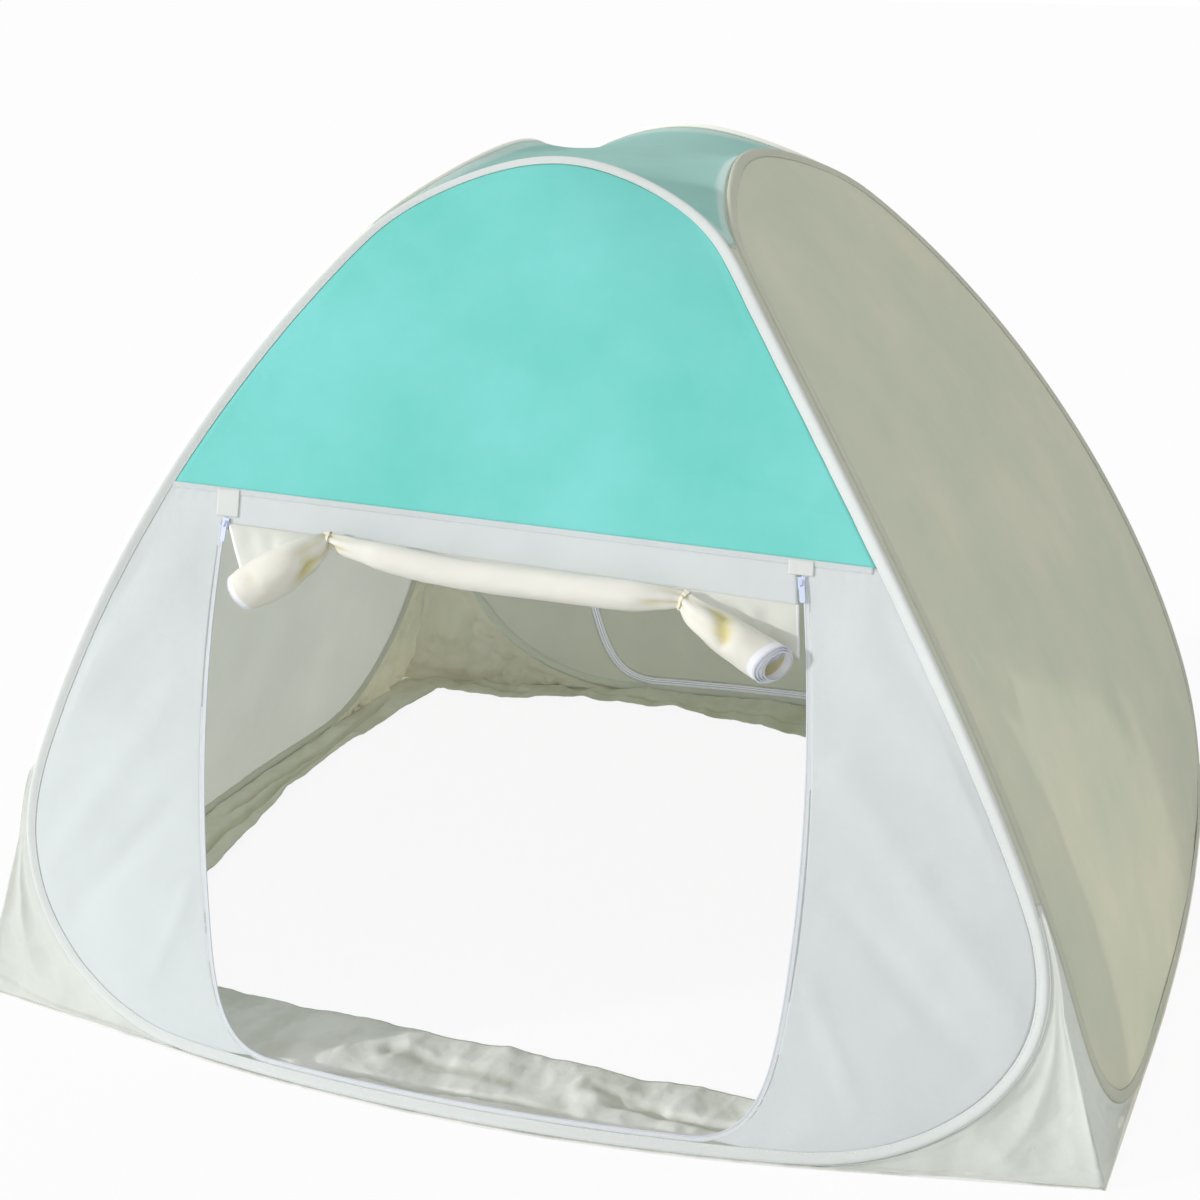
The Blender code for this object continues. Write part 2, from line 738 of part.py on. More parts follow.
def make_roof():
    """Taut saddle between the four hoop tops, meeting in a point on each ridge."""
    arcs = {}
    for face in FACES:
        arcs[face] = roof_line(face, -1) + roof_line(face, 1)[-2::-1]
    tips = {}
    for sx in (-1, 1):
        for sy in (-1, 1):
            ends = [outer_line(face, side)[RIDGE_END] for face, side in corner_faces(sx, sy)]
            tips[sx, sy] = (ends[0] + ends[1]) / 2
    front, right, back, left = (arcs[face] for face in FACES)
    front[0], front[-1] = tips[-1, -1], tips[1, -1]
    right[0], right[-1] = tips[1, -1], tips[1, 1]
    back[0], back[-1] = tips[1, 1], tips[-1, 1]
    left[0], left[-1] = tips[-1, 1], tips[-1, -1]
    grid = np.array(coons(front, back[::-1], left[::-1], right))
    for _ in range(ROOF_RELAX):
        around = grid[:-2, 1:-1] + grid[2:, 1:-1] + grid[1:-1, :-2] + grid[1:-1, 2:]
        grid[1:-1, 1:-1] = around / 4
    cloth("roof", grid, "roof_cloth")


def make_gusset(sx, sy, name):
    """Cloth over a corner, from two hoops to the floor, with a seam from the ridge to the corner."""
    (wide, wide_side), (narrow, narrow_side) = corner_faces(sx, sy)
    rise = max(HOOP_RISE[wide], HOOP_RISE[narrow])
    one = outer_line(wide, wide_side)[FLOOR_STEPS : RIDGE_END + 1]
    two = outer_line(narrow, narrow_side)[FLOOR_STEPS : RIDGE_END + 1]
    ground = CLOTH + 2 * GAP
    levels = sorted({round(point[2], 4) for point in one + two if one[0][2] + 1e-3 < point[2] < rise})
    levels = [max(one[0][2], two[0][2]), *levels, rise]
    inset = 2 * CLOTH
    corner = np.array([sx * (FLOOR_CORNER_X - inset), sy * (FLOOR_CORNER_Y - inset), ground])
    sides = [[between(line, z, z)[0] for z in levels] for line in (one, two)]
    tip = (sides[0][-1] + sides[1][-1]) / 2
    out = unit(np.array([sx, sy, 0.0]))
    grid = []
    for z, a, b in zip(levels, *sides):
        share = (z - levels[0]) / (rise - levels[0])
        seam, middle = corner + (tip - corner) * share, (a + b) / 2
        if (middle - seam) @ out + GUSSET_STAND > 0:
            seam = middle + out * min(GUSSET_STAND, (rise - z) / 4)
        grid.append(straight(a, seam, 2) + straight(seam, b, 2)[1:])
    for point in grid[0]:
        point[2] = ground
    if (sx > 0) != (sy > 0):
        grid = [row[::-1] for row in grid]
    cloth(name, grid, "skirt_cloth")


def make_skirt(face):
    """Strip of cloth that lies on the floor, from under the hoop inward."""
    index = FACES.index(face)
    along = np.array([*[(1, 0), (0, 1), (-1, 0), (0, -1)][index], 0.0])
    out = np.array([along[1], -along[0], 0.0])
    half, reach = (FLOOR_CORNER_X, FLOOR_CORNER_Y) if is_wide(face) else (FLOOR_CORNER_Y, FLOOR_CORNER_X)
    neighbours = (-1, FACES[index - 1]), (1, FACES[(index + 1) % 4])
    level = np.array([0, 0, CLOTH / 2])
    rows = [side_rows(face, -1)[i] for i in range(FLOOR_STEPS, 0, -1)] + side_rows(face, 1)[: FLOOR_STEPS + 1]
    under = [(p + n * (SLEEVE_HALF + CLOTH)) * np.array([1, 1, 0]) + level for p, _, n in rows]
    ends = [out * reach + along * side * (half - SEAM_GAP) + level for side, _ in neighbours]
    starts = [
        out * SKIRT_INNER[face] + along * side * (SKIRT_INNER[other] - SEAM_GAP) + level
        for side, other in neighbours
    ]
    outer = [ends[0], *under, ends[1]]
    inner = straight(starts[0], starts[1], len(outer) - 1)
    sides = straight(outer[0], inner[0], 2), straight(outer[-1], inner[-1], 2)
    cloth(f"{face}_skirt", coons(outer, inner, *sides), "skirt_cloth")


def make_soft_joints():
    make_roof()
    for sx, sx_name in ((-1, "left"), (1, "right")):
        for sy, sy_name in ((-1, "front"), (1, "back")):
            make_gusset(sx, sy, f"{sy_name}_{sx_name}_gusset")
    for face in FACES:
        make_skirt(face)


# Zip sliders and pulls
def slider_mesh():
    """Slider body with a run for each coil, a web between them and a bail for the pull."""
    w, t, n = SLIDER_WIDTH / 2, SLIDER_LENGTH / 2, SLIDER_HALF_DEPTH
    run_near, run_far, run_half = BEAD_NEAR - RUN_CLEAR, BEAD_FAR + RUN_CLEAR, BEAD_HALF + RUN_CLEAR
    slot = TAPE_HALF + RUN_CLEAR
    arch_half, arch_low = BAIL_OPENING / 2, n
    arch_high = n + RUN_CLEAR + PULL_BAR + BAIL_WALL / 2
    far = 2 * t
    steps = [("UNION", (-BAIL_WIDTH / 2, -arch_half - BAIL_WALL, n / 2),
              (BAIL_WIDTH / 2, arch_half + BAIL_WALL, arch_high + BAIL_WALL)),
             ("DIFFERENCE", (-w, -arch_half, arch_low), (w, arch_half, arch_high))]
    for side in (-1, 1):
        low, high = sorted((side * run_near, side * run_far))
        steps.append(("DIFFERENCE", (low, -far, -run_half), (high, far, run_half)))
        low, high = sorted((side * (run_far - RUN_CLEAR), side * far))
        steps.append(("DIFFERENCE", (low, -far, -slot), (high, far, slot)))
    steps.append(("DIFFERENCE", (-run_near - GAP, -far, -run_half), (run_near + GAP, t / 3, run_half)))
    return combined("zip_slider", ((-w, -t, -n), (w, t, n)), steps)


def pull_mesh():
    """Pull tab with a window round the slider's bail, its bar on the turning axis."""
    w, n, bar = PULL_WIDTH / 2, PULL_THICK / 2, PULL_BAR / 2
    window = BAIL_OPENING / 2 + BAIL_WALL + 4 * RUN_CLEAR
    side = BAIL_WIDTH / 2 + 2 * RUN_CLEAR
    mesh = combined("zip_pull", ((-w, -PULL_LENGTH, -n), (w, bar, n)),
                    [("DIFFERENCE", (-side, -window, -w), (side, -bar, w))])
    bm = bmesh.new()
    bm.from_mesh(mesh)
    tip = [e for e in bm.edges if all(v.co.y < -PULL_LENGTH * 0.99 for v in e.verts)]
    tip = [e for e in tip if abs(e.verts[0].co.x - e.verts[1].co.x) < 1e-6]
    bmesh.ops.bevel(bm, geom=tip, offset=w * 0.6, segments=2, affect="EDGES", profile=0.5)
    bm.to_mesh(mesh)
    bm.free()
    return mesh


def frame_matrix(origin, up, normal):
    """Placing matrix with local Y up the zip and local Z out of the wall."""
    across = np.cross(up, normal)
    return Matrix([[*(v[i] for v in (across, up, normal)), origin[i]] for i in range(3)] + [[0, 0, 0, 1]])


def slider_place(face, side):
    """The rest place of a slider: its centre, the direction up the zip, and the way its pull faces.

    The front pulls hang outside the tent. The back ones hang inside it, out of the way of the door.
    """
    arc = ZIPS[face, side]
    point, away, normal = arc.row(arc.angle_at(SLIDER_HEIGHT))
    up = unit(np.cross(normal, away)) * side
    return point, up, normal if face == "front" else -normal


def pull_pivot(face, side):
    point, _, normal = slider_place(face, side)
    return point + normal * (SLIDER_HALF_DEPTH + RUN_CLEAR + PULL_BAR / 2)


def make_sliders():
    """Each slider hangs from an empty on the axis of its arc, and its pull turns on its own bar."""
    body, tab = slider_mesh(), pull_mesh()
    body.materials.append(material("zip_enamel"))
    tab.materials.append(material("zip_enamel"))
    names = {("front", 1): "front_right", ("front", -1): "front_left", ("back", 1): "back_left", ("back", -1): "back_right"}
    for (face, side), name in names.items():
        point, up, normal = slider_place(face, side)
        pivot = bpy.data.objects.new(f"{name}_zip_arc", None)
        PARTS.objects.link(pivot)
        arc = ZIPS[face, side]
        pivot.matrix_world = Matrix.Translation(arc.centre) @ Vector(arc.axis).to_track_quat("Z", "Y").to_matrix().to_4x4()
        slider = bpy.data.objects.new(f"{name}_zip_slider", body)
        pull = bpy.data.objects.new(f"{name}_zip_pull", tab)
        for obj in (slider, pull):
            PARTS.objects.link(obj)
        bpy.context.view_layer.update()
        slider.parent = pivot
        slider.matrix_world = frame_matrix(point, up, normal)
        bpy.context.view_layer.update()
        pull.parent = slider
        pull.matrix_world = frame_matrix(pull_pivot(face, side), up, normal)


# Rolled front door and its ties
def roll_rows():
    """Centre, radius and cross directions along the roll, smoothed between the listed places."""
    places = np.array(ROLL_LINE)
    count = (len(places) - 1) * ROLL_STEPS
    fine = []
    for k in range(count + 1):
        i, t = min(k // ROLL_STEPS, len(places) - 2), k / ROLL_STEPS - min(k // ROLL_STEPS, len(places) - 2)
        p0, p1, p2, p3 = (places[min(max(i + j, 0), len(places) - 1)] for j in (-1, 0, 1, 2))
        fine.append(0.5 * (2 * p1 + (p2 - p0) * t + (2 * p0 - 5 * p1 + 4 * p2 - p3) * t**2
                           + (3 * p1 - p0 - 3 * p2 + p3) * t**3))
    clear = CLOTH / 2 + 4 * GAP + TIE_WALL
    centres = []
    for u, drop, radius in fine:
        z = HEADER_FOOT - drop
        centres.append(skin("front", u, z) + skin_normal("front", u, z) * (radius + clear))
    rows = []
    for i, centre in enumerate(centres):
        along = unit(centres[min(i + 1, count)] - centres[max(i - 1, 0)])
        up = np.array([0, 0, 1.0])
        up = unit(up - (up @ along) * along)
        row = (centre, fine[i][2], np.cross(up, along), up, along)
        if i % ROLL_STEPS == 0 and i // ROLL_STEPS in TIE_POINTS:
            rows += [(centre + along * reach, *row[1:]) for reach in (-TIE_REACH, TIE_REACH)]
        else:
            rows.append(row)
    return rows


def tie_rows():
    """The middle of each pinch, from the two rows of the roll that bound it."""
    rows = roll_rows()
    first = [index * ROLL_STEPS + step for step, index in enumerate(TIE_POINTS)]
    return [((rows[i][0] + rows[i + 1][0]) / 2, *rows[i][1:]) for i in first]


def ring_points(centre, radius, side, up):
    angles = [2 * math.pi * i / ROLL_SIDES for i in range(ROLL_SIDES)]
    return [centre + radius * (math.cos(a) * side + math.sin(a) * up) for a in angles]


def roll_hinge():
    """The line that the roll hangs from, on the header's face at the height of the ties."""
    height = HEADER_FOOT - ROLL_LINE[TIE_POINTS[0]][1]
    return skin("front", 0.0, height) + skin_normal("front", 0.0, height) * CLOTH / 2


def make_roll():
    """The rolled door, drooping past its ties, with its right end open."""
    rows = roll_rows()
    rings = [ring_points(centre, radius, side, up) for centre, radius, side, up, _ in rows]
    centre, radius, side, up, along = rows[-1]
    rings.append(ring_points(centre, radius - ROLL_WALL, side, up))
    rings.append(ring_points(centre - along * ROLL_HOLLOW, radius - 2 * ROLL_WALL, side, up))
    bm = bmesh.new()
    loops = [[bm.verts.new(point) for point in ring] for ring in rings]
    for one, two in zip(loops, loops[1:]):
        for i in range(ROLL_SIDES):
            j = (i + 1) % ROLL_SIDES
            bm.faces.new((one[i], one[j], two[j], two[i]))
    bm.faces.new(loops[0])
    bm.faces.new(loops[-1])
    finished(bm, "front_door_roll", "roll_cloth", origin=roll_hinge())


def make_ties():
    """Loops of tape, each round a pinch of the roll and against the header's face."""
    for (centre, radius, side, up, along), name in zip(tie_rows(), ("left", "right")):
        inner, outer = radius + 2 * GAP, radius + 2 * GAP + TIE_WALL
        band = []
        for a in (2 * math.pi * i / ROLL_SIDES for i in range(ROLL_SIDES)):
            band.append((centre, math.cos(a) * side + math.sin(a) * up, along))
        half = TIE_WIDTH / 2
        section = [(inner, -half), (outer, -half), (outer, half), (inner, half)]
        sweep(f"front_tie_{name}", band, section, "binding", closed=True, origin=roll_hinge())


def make_back_ties():
    """Straps that hang from the back header, for tying that door up when it is rolled."""
    face = "back"
    lift = CLOTH / 2 + GAP + TIE_WALL / 2
    for side, name in ((1, "left"), (-1, "right")):
        left = side * BACK_TIE_PLACE - TIE_WIDTH / 2
        low, high = HEADER_FOOT - BACK_TIE_LENGTH, DOOR_TOP
        borders = oblong(left, left + TIE_WIDTH, low, high, 1, 5)
        wall_cloth(f"back_tie_{name}", face, borders, "binding", lift, TIE_WALL, door_hinge())


def main():
    make_frame()
    make_walls()
    make_zip_tapes()
    make_sliders()
    make_roll()
    make_ties()
    make_back_ties()
    make_soft_joints()


main()
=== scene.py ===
"""The looks of a pop-up bed tent: its cloth, bindings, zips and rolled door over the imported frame.

A wall is written in two coordinates, u along the face and z up, and skin() puts such a point into space.
Every sheet of cloth is a grid of points with its own folds, thickened a little, that stands in for a solid.
"""

import math

import bpy
import numpy as np
from mathutils import Matrix, Vector, noise


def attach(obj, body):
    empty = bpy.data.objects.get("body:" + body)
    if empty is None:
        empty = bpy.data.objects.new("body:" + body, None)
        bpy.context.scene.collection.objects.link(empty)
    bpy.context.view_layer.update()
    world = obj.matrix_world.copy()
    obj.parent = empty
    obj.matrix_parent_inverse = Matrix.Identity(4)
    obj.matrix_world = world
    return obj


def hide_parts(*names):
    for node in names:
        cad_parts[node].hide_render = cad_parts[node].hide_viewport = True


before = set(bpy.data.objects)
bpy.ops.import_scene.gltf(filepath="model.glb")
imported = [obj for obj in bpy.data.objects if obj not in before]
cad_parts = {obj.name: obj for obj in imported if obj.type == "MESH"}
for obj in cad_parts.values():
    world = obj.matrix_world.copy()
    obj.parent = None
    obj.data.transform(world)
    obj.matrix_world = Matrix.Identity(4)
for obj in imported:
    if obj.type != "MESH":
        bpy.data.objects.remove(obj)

# Overall shape, as in the construction
RIDGE_HALF_WIDTH = 0.972
RIDGE_HALF_DEPTH = 0.890
HOOP_TOP = 1.448
SIDE_HOOP_DROP = 0.011
SHOULDER_DROP = 0.128
WIDTH_CLOSE = 0.165
DEPTH_CLOSE = 0.070
WIDTH_POWER, WIDTH_ROOT = 1.53, 0.806
DEPTH_POWER, DEPTH_ROOT = 2.90, 0.551
FLOOR_CORNER_X = 0.985
FLOOR_CORNER_Y = 0.925
FRONT_SWELL = 0.180
SIDE_SWELL = 0.037
SWELL_POWER = 1.3
CROWN_START = 1.0
CROWN_SWELL = 0.39
CROWN_LEAN = -0.094
LEAN_HEIGHT = 1.40
LEAN_POWER = 1.5
# Where each hoop's rounded foot ends: its height, and half the straight run on the floor
HOOP_RISE = {"front": 0.43, "right": 0.25, "back": 0.75, "left": 0.34}
HOOP_FOOT = {"front": 0.532, "right": 0.543, "back": 0.420, "left": 0.476}
FACES = ("front", "right", "back", "left")
# Signs of x and y at each corner, and its name
CORNERS = ((-1, -1, "front_left"), (-1, 1, "back_left"), (1, -1, "front_right"), (1, 1, "back_right"))
# The way each face looks, as (x, y)
FACE_OUT = {"front": (0, -1), "right": (1, 0), "back": (0, 1), "left": (-1, 0)}
HOOP_POINTS = 480
# The height where a panel's side border turns into its top border, and one above everything
CROWN_JOIN = 1.365
ABOVE_TOP = 9.0

# Seams and door
SEAM_HEIGHT = 0.908
# How far each seam drops towards +u, and where the panels over and under it end beside the hoop
SEAM_SLOPE = {"front": 0.022, "back": 0.0}
UPPER_SEAM_END = 0.60
LOWER_SEAM_END = 0.55
HEADER_FOOT_SLOPE = 0.034
HEADER_FOOT_DROP = 0.003
HEADER_DEPTH = 0.058
HEADER_FOOT = SEAM_HEIGHT - HEADER_DEPTH
HEADER_CLEAR = 0.0075
ZIP_HALF_WIDTH = 0.510
ZIP_WAIST_HEIGHT = 0.560
ZIP_TAPER = 0.19
ZIP_TOP = SEAM_HEIGHT - 0.013
ZIP_SIDE_END = 0.250
ZIP_FLAT_REACH = 0.36
ZIP_CORNER_DROP = 0.14
ZIP_CORNER_RUN = 0.10
# Parts of half a hoop's straight run, as in the construction
FLOOR_PARTS = 6
TAPE_WIDTH = 0.0110
TAPE_EDGE_GAP = 0.0009
TAPE_THICK = 0.0007
BEAD_NEAR = 0.0008
BEAD_FAR = 0.0036
BEAD_HALF = 0.0012
TOOTH_PITCH = 0.0026
PLACKET_WIDTH = 0.040
PLACKET_LENGTH = 0.029
PLACKET_LAP = 0.004
PLACKET_THICK = 0.0006
# Slot, finish and solids of each door's plackets
PLACKET_LOOK = {"front": ("binding", "placket_cloth", None), "back": ("side_cloth", None, ())}
# How far the back door goes up behind its header, and how deep
DOOR_LAP = 0.0030
DOOR_LAP_DEPTH = 0.0011
# The height where a door's side border turns into its lower one, and its length from header to foot
DOOR_TURN = 0.16
DOOR_LENGTH = 0.80
# Where the inner borders of the lower panels end, in u
PANEL_FOOT_END = 0.392
# The share of half a hoop's straight run that a side panel's lower border follows
SIDE_FOOT_SHARE = 0.93
# Gap between two cloths that meet at a seam, and how far cloth goes in under a zip's tape
EDGE_GAP = 0.0004
EDGE_TUCK = 0.0030
# Section of the turned edge at a seam: (place across it, height over the wall)
SEAM_SECTION = ((-0.0085, 0.0002), (-0.0072, 0.0008), (-0.0058, 0.0006), (-0.0044, 0.0009), (-0.0016, 0.0013),
                (0.0002, 0.0011), (0.0012, 0.0002))
WALL_SLOT = {"front": "white_cloth", "back": "side_cloth"}
# Folds in the walls: (u, z) of both ends, half width, and height, which is negative for a crease
FOLDS = {
    "side": (((-0.75, 0.30), (-0.35, 1.05), 0.028, 0.0035), ((0.70, 0.15), (0.30, 0.80), 0.035, 0.0030)),
    "side_foot": (((-0.10, 0.03), (0.02, 0.50), 0.030, -0.0020),),
    "upper": (((0.58, 0.95), (0.25, 1.02), 0.012, 0.0016), ((0.50, 1.08), (0.15, 1.00), 0.016, 0.0014)),
    "lower": (((0.86, 0.22), (0.55, 0.62), 0.030, 0.0045), ((0.80, 0.16), (0.54, 0.44), 0.022, -0.0035),
              ((0.90, 0.42), (0.56, 0.80), 0.034, 0.0040), ((0.86, 0.56), (0.60, 0.84), 0.020, -0.0022),
              ((0.62, 0.08), (0.52, 0.30), 0.016, 0.0022)),
    "door": (((-0.40, 0.80), (-0.10, 0.30), 0.030, 0.0040), ((0.44, 0.70), (0.15, 0.12), 0.032, 0.0045),
             ((0.30, 0.20), (0.02, 0.06), 0.020, 0.0030), ((-0.42, 0.35), (-0.18, 0.08), 0.024, -0.0030)),
}

# Sleeve and cloth
SLEEVE_HALF = 0.0051
SLEEVE_SETBACK = 0.0066
EDGE_IN_MOUTH = 0.0185
BINDING_THICK = 0.0006
SHEET_THICK = 0.0007
CLOTH = 0.0015
GAP = 0.0003
PLACKET_LIFT = BEAD_HALF + GAP + PLACKET_THICK
WIRE_RADIUS = 0.0020
WIRE_SEAT = 0.0046
WIRE_SIDES = 10
STEEL = ("_wire", "_ferrule")
RIDGE_BITE = 0.0030
RIDGE_BOW = 0.0030
FLOOR_LINE = CLOTH + GAP + SLEEVE_HALF * 0.31
ZIP_BOTTOM = FLOOR_LINE + EDGE_IN_MOUTH + TAPE_WIDTH
GUSSET_LIFT = 0.0009
GUSSET_STAND = 0.006
GUSSET_ROWS = 90
GUSSET_HALF_COLUMNS = 40
HEM_HEIGHT = 0.030
ROOF_HEM = 0.026
# Points along each border of the roof, and rounds of evening out that make it taut
ROOF_POINTS = 61
ROOF_ROUNDS = 3000
# How crumpled each gusset is, and how high its folds stand
GUSSET_ROUGH = {
    "front_left_gusset": (0.7, 0.8),
    "front_right_gusset": (0.7, 1.2),
    "back_left_gusset": (4.0, 3.2),
    "back_right_gusset": (2.0, 1.5),
}
ROOF_LIFT = 0.00105
STITCH_PITCH = 0.0075
SHORT_PITCH = 0.005
STITCH_SHARE = 0.62
THREAD_RADIUS = 0.00055
# Rows of stitches: (place on the tape or below the seam, height over the cloth)
BINDING_STITCHES = (0.0168, 0.0019)
TAPE_STITCHES = (0.0088, 0.0006)
SEAM_STITCHES = (0.0058, 0.0010)
TAPE_COLUMNS = (0.0009, 0.0036, 0.0060, 0.0085, TAPE_WIDTH)
# The least share of its flat rectangle that a sheet fills
LEAST_FILL = 0.32

# Rolled door: places along its middle line, as (u, drop below the header's foot, radius, distance forward)
ROLL_LINE = (
    (-0.434, 0.0910, 0.0322, 0.010),
    (-0.409, 0.0783, 0.0384, 0.008),
    (-0.383, 0.0643, 0.0406, 0.006),
    (-0.357, 0.0487, 0.0405, 0.004),
    (-0.336, 0.0300, 0.0345, 0.001),
    (-0.317, 0.0130, 0.0245, 0.0),
    (-0.296, -0.0030, 0.0125, 0.0),
    (-0.266, 0.0030, 0.0165, 0.0),
    (-0.224, 0.0095, 0.0205, 0.0),
    (-0.190, 0.0145, 0.0242, 0.0),
    (-0.110, 0.0238, 0.0256, 0.0),
    (-0.020, 0.0288, 0.0255, 0.0),
    (0.095, 0.0307, 0.0259, 0.0),
    (0.178, 0.0318, 0.0257, 0.0),
    (0.241, 0.0318, 0.0240, 0.0),
    (0.280, 0.0300, 0.0186, 0.0),
    (0.311, 0.0315, 0.0140, 0.0),
    (0.341, 0.0509, 0.0246, -0.004),
    (0.373, 0.0668, 0.0320, -0.012),
    (0.409, 0.0849, 0.0347, -0.020),
    (0.443, 0.1015, 0.0362, -0.028),
    (0.469, 0.1128, 0.0355, -0.032),
    (0.482, 0.1188, 0.0350, -0.034),
)
# The places of that line where the ties draw the roll in
PINCHES = (6, 16)
# Dents in the roll: (u, degrees round it with 180 in front, half length, half width, depth, twist)
ROLL_DENTS = (
    (-0.331, 195, 0.017, 0.80, 0.20, -10.0),
    (-0.343, 230, 0.022, 0.70, 0.16, -10.0),
    (-0.396, 158, 0.011, 0.60, 0.09, 10.0),
    (-0.412, 196, 0.012, 0.50, 0.05, 10.0),
    (0.364, 90, 0.020, 0.36, 0.16, 4.0),
    (0.370, 114, 0.018, 0.36, 0.20, 4.0),
    (0.377, 140, 0.015, 0.36, 0.22, 4.0),
    (0.384, 164, 0.012, 0.34, 0.22, 4.0),
    (0.389, 186, 0.008, 0.30, 0.15, 4.0),
    (0.425, 128, 0.024, 0.24, 0.07, -6.0),
    (-0.270, 175, 0.018, 0.35, 0.12, 5.0),
    (-0.150, 205, 0.040, 0.25, 0.05, 3.0),
    (0.060, 160, 0.055, 0.25, 0.04, -2.0),
    (0.262, 188, 0.022, 0.34, 0.12, 5.0),
)
# Turns in the roll, how far each slides out sideways, and the innermost one's share of the radius
ROLL_TURNS = 4.6
ROLL_SLIDE = 0.0030
ROLL_CORE = 0.60
ROLL_END_TILT = 0.62
ROLL_BACK = math.radians(35)
# The tape's share of the door's width, and the foot's share of it
ROLL_TAPE_SHARE = 0.0138
DOOR_FOOT_SHARE = 0.62
STEPS_IN_TURN = 26
TAPED_COLUMNS = 3
TIE_WALL = 0.0012
TIE_WIDTH = 0.012
TIE_THICK = 0.0008
TIE_SHOWN = 0.0072
BACK_TIE_LENGTH = 0.16
BACK_TIE_PLACE = 0.30

# Skirt: inner edge of each strip, as (place along the face, distance from the tent's middle)
SKIRT_EDGE = {
    "front": ((-0.905, 0.755), (-0.573, 0.788), (-0.419, 0.806), (-0.308, 0.814), (-0.267, 0.803),
              (-0.166, 0.821), (-0.039, 0.828), (0.075, 0.832), (0.201, 0.845), (0.322, 0.843),
              (0.426, 0.854), (0.905, 0.840)),
    "right": ((-0.820, 0.885), (-0.400, 0.918), (0.100, 0.902), (0.500, 0.915), (0.895, 0.890)),
    "back": ((-0.905, 0.880), (-0.450, 0.855), (-0.081, 0.836), (0.038, 0.876), (0.262, 0.930),
             (0.418, 0.922), (0.517, 0.926), (0.604, 0.885), (0.693, 0.850), (0.793, 0.856),
             (0.890, 0.872)),
    "left": ((-0.890, 0.865), (-0.841, 0.870), (-0.587, 0.899), (-0.343, 0.913), (-0.124, 0.910),
             (0.114, 0.878), (0.335, 0.848), (0.790, 0.830)),
}
# Long creases in the skirt: both ends as (x, y), half width, depth
SKIRT_CREASES = {
    "front": (((-0.30, -1.012), (0.11, -0.992), 0.008, 0.006), ((0.18, -0.944), (0.44, -0.957), 0.012, 0.009),
              ((0.13, -0.900), (0.30, -0.950), 0.018, 0.005), ((-0.24, -0.900), (0.06, -0.945), 0.020, 0.005)),
    "right": (((0.955, -0.60), (0.930, 0.50), 0.008, 0.008),),
    "back": (((-0.86, 0.930), (-0.64, 0.905), 0.010, 0.018), ((-0.60, 0.985), (0.10, 0.930), 0.008, 0.010)),
    "left": (((-0.955, 0.80), (-0.900, -0.50), 0.008, 0.012), ((-0.930, 0.60), (-0.965, -0.10), 0.006, 0.008)),
}
SKIRT_ROUGH = {"front": 0.014, "right": 0.009, "back": 0.018, "left": 0.014}

# Camera, from the fit to the photograph's outline
CAMERA_PLACE = (1.2251, -4.0218, 1.8195)
CAMERA_YAW = 0.3292
CAMERA_PITCH = 0.2896
CAMERA_ROLL = 0.0112
CAMERA_LENS = 67.556

# Light: a soft sun from the front left, an even sky, and the white that the camera sees of the floor
KEY_FROM = (-6.1, -4.1, 1.7)
KEY_STRENGTH = 2.2
KEY_SPREAD = 2.5
SKY_STRENGTH = 0.77
FLOOR_WHITE = 0.90
FLOOR_REACH = 60.0
FLOOR_DROP = 0.0004


# Small mathematics on arrays of points
def unit(vectors):
    vectors = np.asarray(vectors, float)
    return vectors / np.maximum(np.linalg.norm(vectors, axis=-1, keepdims=True), 1e-12)


def smooth_step(x):
    x = np.clip(x, 0.0, 1.0)
    return x * x * (3 - 2 * x)


def arc_lengths(points):
    """Distance along a line at each of its points."""
    steps = np.linalg.norm(np.diff(points, axis=0), axis=1)
    return np.concatenate([[0.0], np.cumsum(steps)])


def resample(points, count):
    """The same line with count points at equal steps."""
    reach = arc_lengths(points)
    return at_places(np.linspace(0, reach[-1], count), reach, points)


def at_places(places, line_places, line):
    """Rows of a line read at other places along it."""
    return np.stack([np.interp(places, line_places, column) for column in np.asarray(line).T], axis=-1)


def rising(line):
    """Heights along an upward line, each a trace above the last, so that they can be looked up."""
    return np.maximum.accumulate(line[:, -1]) + np.arange(len(line)) * 1e-9


def at_heights(heights, line):
    """Rows of an upward line read at other heights."""
    return at_places(heights, rising(line), line)


def stretch_of(line, low, high):
    """The stretch of an upward line between two heights, with its ends on those heights."""
    steps = np.arange(len(line))
    first, last = np.interp([low, high], rising(line), steps)
    inside = steps[(steps > first + 0.05) & (steps < last - 0.05)]
    return at_places(np.concatenate([[first], inside, [last]]), steps, line)


def crumple(points, size, seed):
    """Smooth noise at each point, about -1 to 1, with lumps of one size."""
    shift = Vector((seed * 7.31, seed * 3.17, seed * 5.71))
    flat = np.asarray(points, float).reshape(-1, 3) / size
    values = [noise.noise(Vector(p) + shift) for p in flat.tolist()]
    return np.array(values).reshape(np.shape(points)[:-1])


def creases(points, size, seed):
    """Noise with sharp valleys, 0 to 1: high along thin crooked lines."""
    return 1 - np.minimum(1.0, np.abs(crumple(points, size, seed)) * 6)


def beside(x, y, start, end):
    """Share of the way from start to end, and distance to the side of that line, of points in a plane."""
    run_x, run_y = end[0] - start[0], end[1] - start[1]
    length = math.hypot(run_x, run_y)
    x, y = x - start[0], y - start[1]
    return (x * run_x + y * run_y) / length**2, (x * run_y - y * run_x) / length


def fold(u, z, start, end, width, height):
    """A soft ridge between two places of a wall, fading out at both ends; a crease if height is negative."""
    t, across = beside(u, z, start, end)
    t = np.clip(t, 0, 1)
    return height * np.sqrt(t * (1 - t) * 4) * np.exp(-((across / width) ** 2))


def folded(u, z, table, side=1, total=0.0):
    """A table's folds on top of a wall's other waves; side -1 mirrors them."""
    for (u_1, z_1), (u_2, z_2), width, height in table:
        total = total + fold(u, z, (side * u_1, z_1), (side * u_2, z_2), width, height)
    return total


